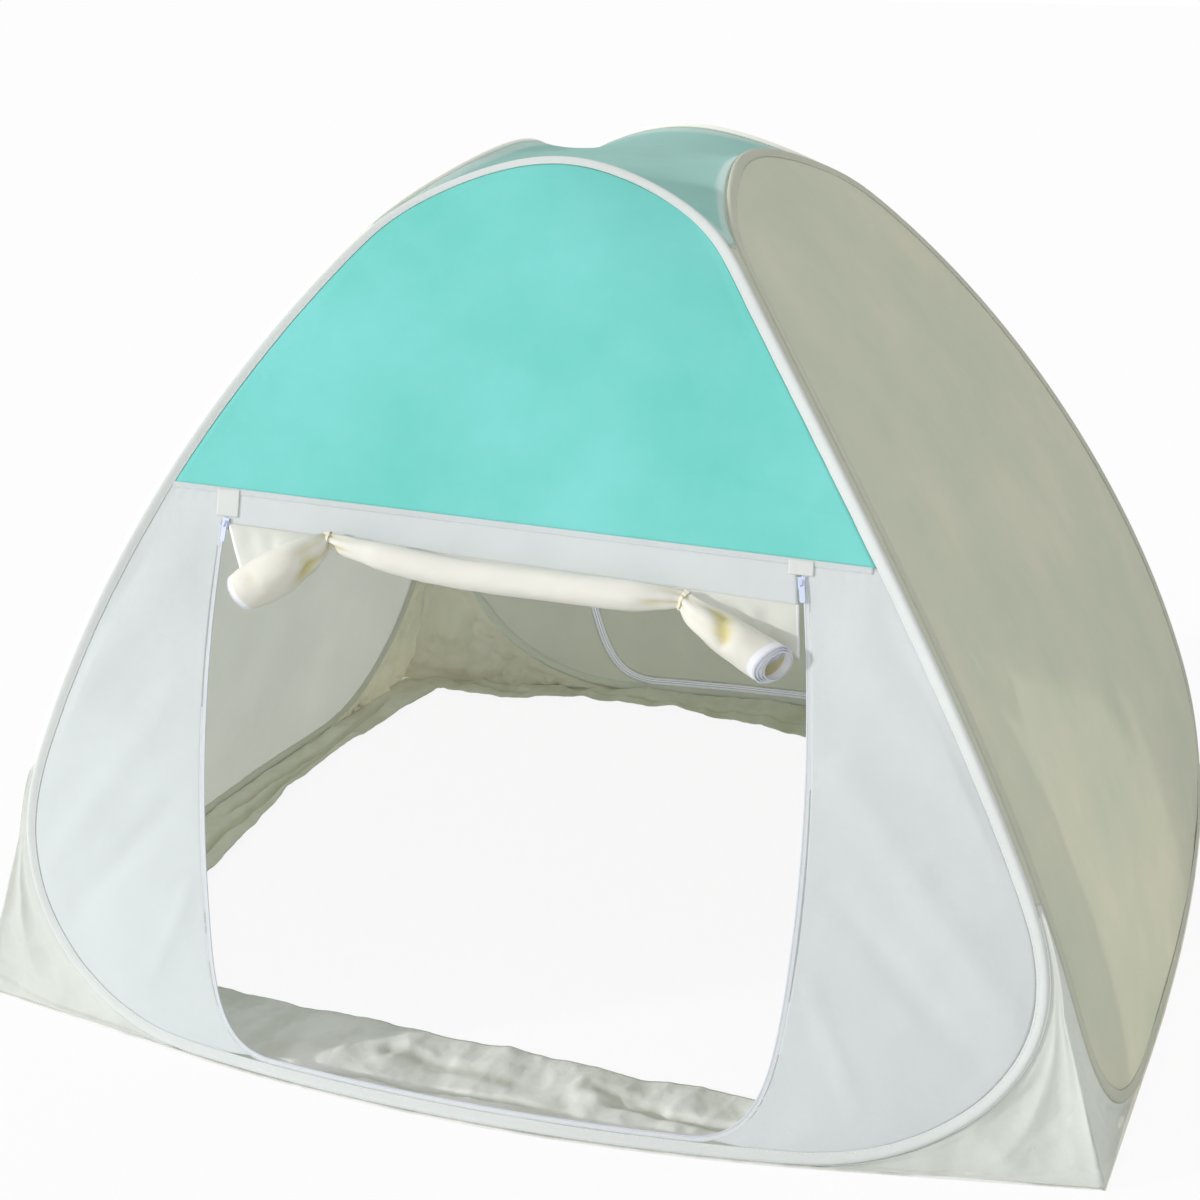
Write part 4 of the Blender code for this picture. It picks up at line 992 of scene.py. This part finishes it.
def make_lower_panel(face, side, seed):
    """The wall beside the door, from the hoop to the zip tape."""
    hoop = mouth_chart(face, side)
    low_u = HOOP_FOOT[face] * (FLOOR_PARTS - 1) / FLOOR_PARTS
    seam_at = SEAM_HEIGHT - EDGE_GAP - SEAM_SLOPE[face] * side * LOWER_SEAM_END
    outer = hoop[np.searchsorted(np.abs(hoop[:, 0]), low_u) :]
    outer = np.vstack([outer[outer[:, 1] < seam_at - 1e-3], stretch_of(hoop, seam_at - 1e-6, seam_at)[-1:]])
    inner = zip_edge(face, side, TAPE_WIDTH + TAPE_EDGE_GAP - EDGE_TUCK, ZIP_TOP)[::-1]
    inner = inner[np.abs(inner[:, 0]) > PANEL_FOOT_END]
    inner = np.vstack([inner, [(inner[-1, 0], seam_at)]])
    left, right = (inner, outer) if side > 0 else (outer, inner)
    bottom, top = (np.linspace(left[end], right[end], 12) for end in (0, -1))

    def folds(u, z):
        return folded(u, z, FOLDS["lower"], side)

    grid = wall_grid(face, (bottom, top, left, right), (130, 60), seed, folds, soft=0.0022, size=0.15)
    cloth_piece(f"{face}_lower_panel_{side_name(face, side)}", grid, WALL_SLOT[face])


def make_header(face, seed):
    lines = []
    for height in (HEADER_FOOT, SEAM_HEIGHT - EDGE_GAP):
        u = np.linspace(-1, 1, 140) * (zip_u(height) - HEADER_CLEAR + EDGE_TUCK)
        z = height - SEAM_SLOPE[face] * u
        if face == "front" and height == HEADER_FOOT:
            z = front_foot(u)
        lines.append(np.stack([u, z], axis=1))
    sides = (np.linspace(lines[0][end], lines[1][end], 16) for end in (0, -1))

    def folds(u, z):
        drop = (SEAM_HEIGHT - z) / HEADER_DEPTH
        return 0.0022 * drop * np.sin(26 * u + 3 * np.sin(9 * u)) * np.exp(-((u / 0.5) ** 4))

    grid = wall_grid(face, (*lines, *sides), (16, 150), seed, folds, soft=0.0008, size=0.06, reach=0.012)
    cloth_piece(f"{face}_header", grid, WALL_SLOT[face])


def make_back_door():
    """The closed door, whose top laps a little way up behind the header."""
    right = zip_edge("back", 1, -TAPE_WIDTH - TAPE_EDGE_GAP + EDGE_TUCK, HEADER_FOOT - EDGE_GAP)
    turn = int(np.argmax(right[:, 1] < DOOR_TURN))
    side = right[:turn][::-1]
    top = np.linspace(flip(side)[-1], side[-1], 90)

    def folds(u, z):
        return folded(u, z, FOLDS["door"]) + 0.0020 * np.sin(11 * u - 7 * z)

    borders = over_middle(right[turn - 1 :]), top, flip(side), side
    grid = wall_grid("back", borders, (110, 120), 31, folds, soft=0.0028, size=0.13)
    u = resample(top, 120)[:, 0]
    for share in (0.25, 0.5, 0.75, 1.0):
        z = top[0, 1] + share * (HEADER_FOOT + DOOR_LAP - top[0, 1]) + 0 * u
        behind = DOOR_LAP_DEPTH * smooth_step(share / 0.5) + 0 * u
        grid = np.concatenate([grid, off_skin("back", u, z, -behind)[None]])
    cloth_piece("back_door", grid, "side_cloth", body="back_flap")


def side_name(face, side):
    """Left or right as seen from the front of the tent, for a side of a wide face."""
    return "right" if (side > 0) == (face == "front") else "left"


def oblong_grid(face, middle, width, low, high, shape, lift, seed, rough=0.0003):
    """Points of a flat strip that lies on a wall."""
    u = middle + width * np.linspace(-0.5, 0.5, shape[1])
    u, z = np.meshgrid(u, np.linspace(low, high, shape[0]))
    return off_skin(face, u, z, lift + rough * crumple(skin(face, u, z), 0.010, seed))


def make_plackets():
    """Doubled cloth over the top end of each zip, where the header and the wall beside it meet."""
    low = SEAM_HEIGHT - PLACKET_LENGTH - PLACKET_LAP
    for side in (1, -1):
        middle = side * float(zip_u(SEAM_HEIGHT - PLACKET_LENGTH))
        for face, (slot, finish, nodes) in PLACKET_LOOK.items():
            top = SEAM_HEIGHT - SEAM_SLOPE[face] * middle - 0.0008
            grid = oblong_grid(face, middle, PLACKET_WIDTH, low, top, (14, 18), PLACKET_LIFT, 90 + side)
            cloth_piece(f"{face}_placket_{side_name(face, side)}", grid, slot, nodes=nodes,
                        thick=PLACKET_THICK, finish=finish)


def make_seams():
    """The turned edge of the cloth under each upper panel, with its row of stitches."""
    across, lift = np.array(SEAM_SECTION).T[..., None]
    for face in ("front", "back"):
        slope = SEAM_SLOPE[face]
        edge = float(stretch_of(mouth_chart(face, 1), SEAM_HEIGHT, ABOVE_TOP)[0][0]) + 0.001
        u = np.linspace(-edge, edge, 260)
        height = SEAM_HEIGHT - slope * u + across
        places = u + 0 * height
        bumps = lift + 0.0003 * crumple(skin(face, places, height), 0.012, 95) * (lift > 0.0005)
        rows = off_skin(face, places, height, bumps)
        z = SEAM_HEIGHT - slope * u - SEAM_STITCHES[0]
        line, normal = off_skin(face, u, z, SEAM_STITCHES[1] + 0 * u), skin_normal(face, u, z)
        thread = stitch_line(f"{face}_seam_stitches", line, normal, "tent", SHORT_PITCH)
        cloth_piece(f"{face}_seam", rows, WALL_SLOT[face], nodes=(),
                    thick=0.0005)


def make_walls():
    make_side_panel("right", 11)
    make_side_panel("left", 13)
    make_upper_panel("front", "teal_cloth", 15)
    make_upper_panel("back", "side_cloth", 17)
    for face, seed in (("front", 19), ("back", 25)):
        make_lower_panel(face, 1, seed)
        make_lower_panel(face, -1, seed + 3)
        make_header(face, seed + 5)
    make_back_door()
    make_plackets()
    make_seams()


# Roof, corner gussets and skirts
def corner_faces(sx, sy):
    """The wide and the narrow face that meet at a corner, each with the side of its u there."""
    return ("front" if sy < 0 else "back", -sx * sy), ("right" if sx > 0 else "left", sx * sy)


def corner_out(sx, sy):
    return unit(np.array([sx, sy, 0.0]))


def foot_step(face, line):
    """Number of the point of a half line where the hoop's straight run on the floor ends."""
    return int(np.searchsorted(np.abs(chart(face, line)[:, 0]), HOOP_FOOT[face]))


def make_roof():
    """Taut saddle between the four hoop tops, meeting in a point on each ridge."""
    arcs = []
    for face in FACES:
        halves = []
        for side in (-1, 1):
            plain = half_line(face, side)
            top = plain[:, 2] > HOOP_TOP - SHOULDER_DROP
            plain, lifted = plain[top], half_line(face, side, -ROOF_LIFT)[top]
            dropped = half_line(face, side, 0.0, -SLEEVE_HALF)[top]
            halves.append(lifted + (dropped - plain) * smooth_step(np.linspace(0, 6, len(plain)))[:, None])
        arcs.append(resample(np.vstack([halves[0], halves[1][-2::-1]]), ROOF_POINTS))
    for one, two in zip(arcs, arcs[1:] + arcs[:1]):
        one[-1] = two[0] = (one[-1] + two[0]) / 2
    front, right, back, left = arcs
    grid = coons(front, back[::-1], left[::-1], right)
    for _ in range(ROOF_ROUNDS):
        around = grid[:-2, 1:-1] + grid[2:, 1:-1] + grid[1:-1, :-2] + grid[1:-1, 2:]
        grid[1:-1, 1:-1] = around / 4
    grid[..., 2] += tension(grid, 45, soft=0.0015, size=0.12, pucker=0.0006)
    side, end, _, _ = edge_distances(grid)
    # Painted highlight: the roof's cloth turns to its lighter deep colour along the hem.
    cloth_piece("roof", grid, "roof_cloth",
                deep=0.7 * smooth_step((ROOF_HEM - np.minimum(side, end)) / 0.008))


def make_gusset(sx, sy, name, seed):
    """Cloth over a corner, from two hoops to the floor, with a seam from the ridge to the corner."""
    faces = corner_faces(sx, sy)
    rise = max(HOOP_RISE[face] for face, _ in faces)
    halves = [half_line(face, side, -GUSSET_LIFT) for face, side in faces]
    starts = [line[foot_step(face, line)] for line, (face, _) in zip(halves, faces)]
    ground = CLOTH + 2 * GAP
    base = max(start[2] for start in starts) + 0.0006
    levels = base + (rise - base) * np.linspace(0, 1, GUSSET_ROWS) ** 1.3
    corner = np.array([sx * (FLOOR_CORNER_X - 2 * CLOTH), sy * (FLOOR_CORNER_Y - 2 * CLOTH), ground])
    sides = [at_heights(levels, stretch_of(line, base, rise)) for line in halves]
    sides[0][0], sides[1][0] = starts
    tip = (sides[0][-1] + sides[1][-1]) / 2
    out = corner_out(sx, sy)
    half = GUSSET_HALF_COLUMNS
    rows = []
    for z, a, b in zip(levels, *sides):
        share = (z - base) / (rise - base)
        seam, middle = corner + (tip - corner) * share, (a + b) / 2
        if (middle - seam) @ out + GUSSET_STAND > 0:
            seam = middle + out * min(GUSSET_STAND, (rise - z) / 4)
        rows.append(np.vstack([np.linspace(a, seam, half + 1), np.linspace(seam, b, half + 1)[1:]]))
    grid = np.array(rows)
    grid[0, :, 2] = ground
    side, _, _, along_v = edge_distances(grid)
    normal = unit(np.cross(np.gradient(grid, axis=1), np.gradient(grid, axis=0)))
    if (normal[len(normal) // 2, 12] @ out) < 0:
        normal = -normal
    inside = smooth_step(side / 0.03)
    room = np.minimum(1.0, side[:, half : half + 1] / 0.10)
    across = np.linspace(-1, 1, 2 * half + 1)
    height = np.linspace(0, 1, len(grid))[:, None]
    facet = np.sin(math.pi * np.abs(across)) ** 0.8
    bend = across + 0.12 * crumple(grid, 0.20, seed + 3)
    fan = (1 - 2.2 * np.abs(np.sin(5.5 * bend + 1.3 * seed))) * np.sin(math.pi * np.clip(height * 1.1, 0, 1))
    fan = fan + 0.6 * (1 - 2.2 * np.abs(np.sin(9.5 * bend - seed))) * np.exp(-(((height - 0.62) / 0.25) ** 2))
    rough, ribs = GUSSET_ROUGH[name]
    big, small = crushed(grid, 0.19, seed + 1), crushed(grid, 0.07, seed + 2)
    slack = rough * (0.010 * (big - 0.55) + 0.0035 * (small - 0.5))
    lines = 0.6 * creases(grid, 0.17, seed + 6) + 0.4 * creases(grid, 0.08, seed + 7)
    slack = slack + ribs * (0.0030 * fan + 0.0022 * lines) - 0.006 * facet * (1 - height)
    hem = 0.0024 * smooth_step((HEM_HEIGHT - along_v) / 0.002) * smooth_step(along_v / 0.004)
    away = inside * room * slack * smooth_step(along_v / 0.03) + hem * inside
    knot = np.exp(-(((height - 0.93) / 0.05) ** 2) - (across / 0.35) ** 2) * np.sin(14 * across + 2)
    seam_ridge = 0.0022 * np.exp(-((across * half / 1.1) ** 2)) * room
    grid = grid + normal * (away + seam_ridge + 0.0030 * knot * inside)[..., None]
    grid[..., 2] = np.maximum(grid[..., 2], ground * 0.6)
    # The back gussets' finish darkens the crease lines with painted shade; the front gussets' finish has no
    # deep colour.
    finish = "gusset_cloth" if sy < 0 else "back_gusset_cloth"
    cloth_piece(name, grid, "skirt_cloth", finish=finish,
                deep=inside * 0.22 * lines)


def crushed(points, size, seed):
    """Crushed cloth, about 0 to 1: small flats between sharp crooked ridges."""
    total = 0
    for octave, share in enumerate((1.0, 0.55, 0.3)):
        total = total + share * (1 - 2.4 * np.abs(crumple(points, size / 1.9**octave, seed + octave)))
    return np.clip(total / 1.85, 0, 1)


def valley(points, start, end, width):
    """1 along the line between two places on the floor, and 0 away from it and past its ends."""
    along, across = beside(points[..., 0], points[..., 1], start, end)
    across = across + 0.003 * np.sin(9 * along) + 0.0015 * np.sin(23 * along + 1)
    fade = smooth_step(along / 0.12) * smooth_step((1 - along) / 0.12)
    return fade * np.exp(-((across / width) ** 2))


def make_skirt(face, seed):
    """Strip of cloth that lies on the floor, crushed in soft folds, from under the hoop inward."""
    out = np.array([*FACE_OUT[face], 0.0])
    along = np.array([-out[1], out[0], 0.0])
    half, reach = (FLOOR_CORNER_X, FLOOR_CORNER_Y) if is_wide(face) else (FLOOR_CORNER_Y, FLOOR_CORNER_X)
    points, _, normal = HOOPS[face]
    under = (points + normal * (SLEEVE_HALF + CLOTH)) * np.array([1, 1, 0])
    count = foot_step(face, half_line(face, 1))
    ends = [out * reach + along * side * (half - EDGE_GAP) for side in (-1, 1)]
    outer = resample(np.vstack([ends[:1], under[-count:], under[: count + 1], ends[1:]]), 381)
    u = outer @ along
    edge_u, edge_out = np.array(SKIRT_EDGE[face]).T
    inner_u = np.interp(u, (u.min(), u.max()), (edge_u[0], edge_u[-1]))
    inner = out * np.interp(inner_u, edge_u, edge_out)[:, None] + along * inner_u[:, None]
    across = np.linspace(0, 1, 46)[:, None]
    grid = outer * (1 - across[..., None]) + inner * across[..., None]
    side, _, _, _ = edge_distances(grid)
    free = smooth_step(side / 0.04) * smooth_step(across / 0.22)
    rough = SKIRT_ROUGH[face]
    stretched = grid * (np.array([1, 0.5, 1]) if is_wide(face) else np.array([0.5, 1, 1]))
    folds = crushed(stretched, 0.20, seed)
    small = crushed(grid * np.array([1, 0.6, 1]), 0.06, seed + 5)
    edge = np.exp(-((1 - across) / 0.05) ** 2)
    height = (rough * folds + 0.22 * rough * small) * (1 - 0.35 * edge) + 0.0012 * edge
    # Painted shade: the skirt turns to its deep colour in the valleys of its folds and along its long creases.
    deep = 0.45 * smooth_step((0.5 - folds) / 0.4) + 0.25 * smooth_step((0.5 - small) / 0.4)
    for start, end, width, depth in SKIRT_CREASES[face]:
        height = height - depth * valley(grid, start, end, width)
        deep = np.maximum(deep, valley(grid, start, end, width * 0.8))
    wave = 0.006 * crumple(grid, 0.10, seed + 4) * free
    grid = grid + out * wave[..., None]
    grid[..., 2] = 0.0010 + free * np.maximum(0.0, height)
    cloth_piece(f"{face}_skirt", grid, "skirt_cloth",
                finish="skirt_white" if face == "front" else "skirt_cloth", deep=deep)


def make_soft_joints():
    make_roof()
    for sx, sy, name in CORNERS:
        make_gusset(sx, sy, f"{name}_gusset", 50 + 8 * (sx > 0) + 4 * (sy > 0))
    for number, face in enumerate(FACES):
        make_skirt(face, 70 + 6 * number)


# Rolled front door
def roll_path():
    """Middle line of the roll: distance from its centre, points, radii, and the ways aside, up and along."""
    places = np.array(ROLL_LINE)
    padded = np.vstack([places[:1], places, places[-1:]])
    fine = []
    for p0, p1, p2, p3 in zip(padded, padded[1:], padded[2:], padded[3:]):
        for t in np.arange(0, 1, 0.05):
            fine.append(0.5 * (2 * p1 + (p2 - p0) * t + (2 * p0 - 5 * p1 + 4 * p2 - p3) * t**2
                               + (3 * p1 - p0 - 3 * p2 + p3) * t**3))
    u, drop, radius, forward = np.array([*fine, places[-1]]).T
    clear = CLOTH / 2 + 4 * GAP + TIE_WALL + forward
    centre = off_skin("front", u, HEADER_FOOT - drop, radius + clear)
    reach = arc_lengths(centre)
    reach = reach - np.interp(0.0, u, reach)
    along = unit(np.gradient(centre, axis=0))
    up = np.array([0, 0, 1.0])
    up = unit(up - (along @ up)[:, None] * along)
    return reach, centre, radius, np.cross(up, along), up, along


ROLL = roll_path()
ROLL_U = ROLL[1][:, 0] - lean(ROLL[1][:, 2])
ROLL_PINCHES = [float(np.interp(ROLL_LINE[i][0], ROLL_U, ROLL[0])) for i in PINCHES]


def roll_relief(s, angle):
    """How far the roll's folds stand out, as a share of its radius; folds inward are negative."""
    relief = np.zeros_like(angle)
    for number, place in enumerate(ROLL_PINCHES):
        near = np.exp(-np.abs(s - place) / 0.042)
        turn = 0.9 * number + 22 * (s - place)
        relief = relief + 0.20 * near * np.sin(5 * angle + turn)
        relief = relief + 0.11 * near * np.sin(11 * angle - 1.5 * turn + 1)
    for u, degrees, length, width, depth, twist in ROLL_DENTS:
        along = s - np.interp(u, ROLL_U, ROLL[0])
        turned = angle - math.radians(degrees) - twist * along
        turned = (turned + math.pi) % (2 * math.pi) - math.pi
        relief = relief - depth * np.exp(-((along / length) ** 2) - (turned / width) ** 2)
    return relief


def roll_shape(s, angle):
    """Share of the roll's radius at a place along it and round it."""
    spots = np.stack([s / 0.06, 1.3 * np.cos(angle), 1.3 * np.sin(angle)], axis=-1)
    dents = 0.05 * crumple(spots, 1.0, 120) + 0.03 * crumple(spots * 2.3, 1.0, 121)
    return 1 + 0.04 * np.cos(2 * (angle + 0.9)) + roll_relief(s, angle) + dents


def on_roll(s, angle, depth):
    """Points in the roll: depth is 1 at its outside and 0 at its axis."""
    reach, centre, radius, side, up, _ = ROLL
    r = np.interp(s, reach, radius) * depth * roll_shape(s, angle)
    middle, a, b = (at_places(s, reach, rows) for rows in (centre, side, up))
    return middle + a * (r * np.cos(angle))[..., None] + b * (r * np.sin(angle))[..., None]


def taped_mesh(name, grid, cloth, columns):
    """A mesh of cloth whose end columns are zip tape."""
    mesh = grid_mesh(name, grid)
    for finish in (cloth, "roll_tape"):
        mesh.materials.append(FINISH[finish])
    number = np.zeros((grid.shape[0] - 1, grid.shape[1] - 1), np.int32)
    number[:, :columns] = 1
    number[:, -columns:] = 1
    mesh.polygons.foreach_set("material_index", number.reshape(-1))
    return mesh


def make_roll():
    """The door as one rolled sheet: a spiral whose inner turns are narrower, since the door's foot is."""
    reach, centre, _, _, _, ahead = ROLL
    share = np.linspace(0, 1, int(ROLL_TURNS * STEPS_IN_TURN))
    turns = share * ROLL_TURNS
    angle = ROLL_BACK - turns * 2 * math.pi
    depth = 1 - (1 - ROLL_CORE) * share
    door_z = HEADER_FOOT - share * DOOR_LENGTH
    rounding = np.sqrt(np.clip(1 - ((ZIP_SIDE_END - door_z) / 0.25) ** 2, 0, 1))
    half = np.where(door_z > ZIP_SIDE_END, 1.0, DOOR_FOOT_SHARE + (1 - DOOR_FOOT_SHARE) * rounding)
    ends = np.linspace(0, ROLL_TAPE_SHARE, 4)
    inside = np.linspace(ends[-1], 1.0 - ends[-1], 190)
    columns = np.concatenate([ends[:-1], inside, 1 - ends[-2::-1]])
    slid = ROLL_SLIDE * np.minimum(turns, 3.2)
    left, right = reach[0] * half - slid, reach[-1] * half + slid
    right = right - ROLL_END_TILT * ROLL_LINE[-1][2] * (1 - depth * np.cos(angle)) - np.max(slid)
    s = left[:, None] * (1 - columns) + right[:, None] * columns
    angles = angle[:, None] + 0 * s
    grid = on_roll(s, angles, depth[:, None] + 0 * s)
    mesh = taped_mesh("front_door_roll_cloth", grid, "roll_cloth", TAPED_COLUMNS)
    # Painted shade: the roll's yellow deep colour goes into its dents and pinch folds on the outer turn and
    # onto the inner turns in its hollow ends; the tubes past the ties get a little of it.
    shade = smooth_step(-roll_relief(s, angles) / 0.30) * (turns[:, None] < 1.02)
    tube = np.maximum(smooth_step((ROLL_PINCHES[0] - s) / 0.05), smooth_step((s - ROLL_PINCHES[1]) / 0.05))
    for more in (0.06 * tube, 0.75 * smooth_step((turns[:, None] - 1.3) / 1.5)):
        shade = np.maximum(shade, more)
    carry_painted_shading(mesh, shade)
    obj = add_piece("front_door_roll_cloth", mesh, "roll_cloth", "front_roll", ("front_door_roll",))
    thicken(obj, SHEET_THICK)
    for name, column, sign in (("left", 0, -1), ("right", -1, 1)):
        line = grid[:, column]
        middle, out = (at_places(s[:, column], reach, rows) for rows in (centre, ahead * sign))
        teeth(f"front_door_zip_coil_{name}", line, out, unit(line - middle), "front_roll",
                           near=-0.0016, far=0.0012)
    declare_sheet(grid)
    make_door_top(columns)


def make_door_top(columns):
    """The strip of the door between the header and the roll, which widens to a corner past each tie."""
    s = ROLL[0][0] * (1 - columns) + ROLL[0][-1] * columns
    low = on_roll(s, np.full(len(s), ROLL_BACK), 1.0)
    edge = float(zip_u(HEADER_FOOT)) - 0.004
    u = np.interp(columns, (0, 1), (-edge, edge))
    foot = front_foot(u) + 0.002
    t = np.linspace(0, 1, 22)[:, None, None]
    grid = skin("front", u, foot) * (1 - t) + low * t
    _, end, along_u, _ = edge_distances(grid)
    length = end.max(axis=0)[None, :]
    wave = np.sin(2 * math.pi * along_u / 0.045 + 4 * crumple(grid, 0.08, 130))
    away = 0.0014 * wave * smooth_step(end / 0.02) * np.minimum(1, length / 0.03) + 0.0012
    grid = grid + skin_normal("front", u, foot) * away[..., None]
    mesh = taped_mesh("front_door_top", grid, "door_cloth", 1)
    obj = add_piece("front_door_top", mesh, "roll_cloth", "front_roll")
    thicken(obj, SHEET_THICK)
    declare_sheet(grid)


def make_ties():
    """Loops of tape, each drawn tight round a pinch of the roll."""
    reach, _, radius, _, _, _ = ROLL
    angle = np.linspace(0, 2 * math.pi, 73)[:-1, None]
    for place, name in zip(ROLL_PINCHES, ("left", "right")):
        s = place + np.linspace(-0.5, 0.5, 7) * TIE_SHOWN + 0 * angle
        angles = angle + 0 * s
        spread = (np.interp(place, reach, radius) * 1.04 + 0.0010) / np.interp(s, reach, radius)
        shape = roll_shape(s, angles)
        grid = on_roll(s, angles, spread / shape * (1 + 0.5 * (shape - 1)))
        cloth_piece(f"front_tie_{name}", grid, "binding", body="front_roll", thick=TIE_THICK,
                    loop_rows=True, finish="cord_cloth")


def make_back_ties():
    """Straps that hang from the back header, for tying that door up when it is rolled."""
    t = np.linspace(0, 1, 60)[:, None, None]
    bow = np.abs(0.0035 * np.sin(3.0 * math.pi * t) * (1 - t))
    low, high, lift = HEADER_FOOT - BACK_TIE_LENGTH, HEADER_FOOT - 0.0006, CLOTH / 2 + 0.0016
    for side in (1, -1):
        middle = side * BACK_TIE_PLACE
        grid = oblong_grid("back", middle, TIE_WIDTH, low, high, (60, 8), lift, 140 + side, 0.0004)
        grid = grid + skin_normal("back", middle, 0.77) * bow
        cloth_piece(f"back_tie_{side_name('back', side)}", grid, "binding", body="back_flap",
                    thick=TIE_THICK)


def dress_frame():
    """Finishes of the solids that stay: the wires' ferrules, and the zip sliders and pulls."""
    for name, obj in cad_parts.items():
        if not obj.hide_render:
            for holder in obj.material_slots:
                holder.material = FINISH["spring_steel" if name.endswith(STEEL) else "zip_enamel"]


# Floor, light and camera
def seen_share(tree):
    """1 for rays from the camera, or by way of gloss or glass, and 0 for the light that cloth receives."""
    path = add_node(tree, "LightPath")
    last = (path, "Is Camera Ray")
    for operation, ray in (("MAXIMUM", "Glossy"), ("MAXIMUM", "Transmission"), ("SUBTRACT", "Diffuse")):
        step = add_node(tree, "Math")
        step.operation = operation
        join(*last, step, 0)
        join(path, f"Is {ray} Ray", step, 1)
        last = (step, "Value")
    step.use_clamp = True
    return last


def make_stage():
    """Pale floor that lights the tent as a floor would, and that the camera sees mostly as white."""
    mesh = bpy.data.meshes.new("studio_floor")
    signs = ((-1, -1), (1, -1), (1, 1), (-1, 1))
    corners = [(x * FLOOR_REACH, y * FLOOR_REACH, -FLOOR_DROP) for x, y in signs]
    mesh.from_pydata(corners, [], [(0, 1, 2, 3)])
    made, tree, shader, output = new_material("studio_floor")
    set_sockets(shader, Base_Color=(0.88, 0.88, 0.88, 1.0), Roughness=0.9, Specular_IOR_Level=0.0)
    share = add_node(tree, "Math")
    share.operation = "MULTIPLY"
    share.inputs[1].default_value = FLOOR_WHITE
    join(*seen_share(tree), share, 0)
    join(share, "Value", blend(shader, add_node(tree, "Emission", Strength=1.0), output), "Fac")
    mesh.materials.append(made)
    floor = link_object("studio_floor", mesh)


def make_lights():
    data = bpy.data.lights.new("key_lamp", "SUN")
    data.energy = KEY_STRENGTH
    data.angle = math.radians(KEY_SPREAD)
    lamp = link_object("key_lamp", data)
    lamp.location = KEY_FROM
    lamp.rotation_mode = "QUATERNION"
    lamp.rotation_quaternion = (-Vector(KEY_FROM)).to_track_quat("-Z", "Y")
    world = bpy.context.scene.world or bpy.data.worlds.new("studio")
    bpy.context.scene.world = world
    world.use_nodes = True
    tree = world.node_tree
    tree.nodes.clear()
    output = add_node(tree, "OutputWorld")
    soft, plain = (add_node(tree, "Background", Color=(1.0, 1.0, 1.0, 1.0), Strength=strength)
                   for strength in (SKY_STRENGTH, 1.0))
    join(*seen_share(tree), blend(soft, plain, output), "Fac")


def make_camera():
    yaw, pitch, roll = CAMERA_YAW, CAMERA_PITCH, CAMERA_ROLL
    ahead = Vector((-math.sin(yaw) * math.cos(pitch), math.cos(yaw) * math.cos(pitch), -math.sin(pitch)))
    level = ahead.cross(Vector((0, 0, 1))).normalized()
    above = level.cross(ahead)
    right = level * math.cos(roll) + above * math.sin(roll)
    up = above * math.cos(roll) - level * math.sin(roll)
    data = bpy.data.cameras.new("photo_camera")
    data.sensor_width = 36.0
    data.lens = CAMERA_LENS
    data.clip_end = 100.0
    camera = link_object("photo_camera", data)
    rows = zip(right, up, -ahead, CAMERA_PLACE)
    camera.matrix_world = Matrix([*rows, (0, 0, 0, 1)])
    bpy.context.scene.camera = camera


def main():
    bpy.context.scene.view_settings.view_transform = "Standard"
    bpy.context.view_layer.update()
    make_bindings()
    make_wires()
    make_ridges()
    make_zip_tapes()
    make_walls()
    make_soft_joints()
    make_roll()
    make_ties()
    make_back_ties()
    dress_frame()
    make_stage()
    make_lights()
    make_camera()


main()
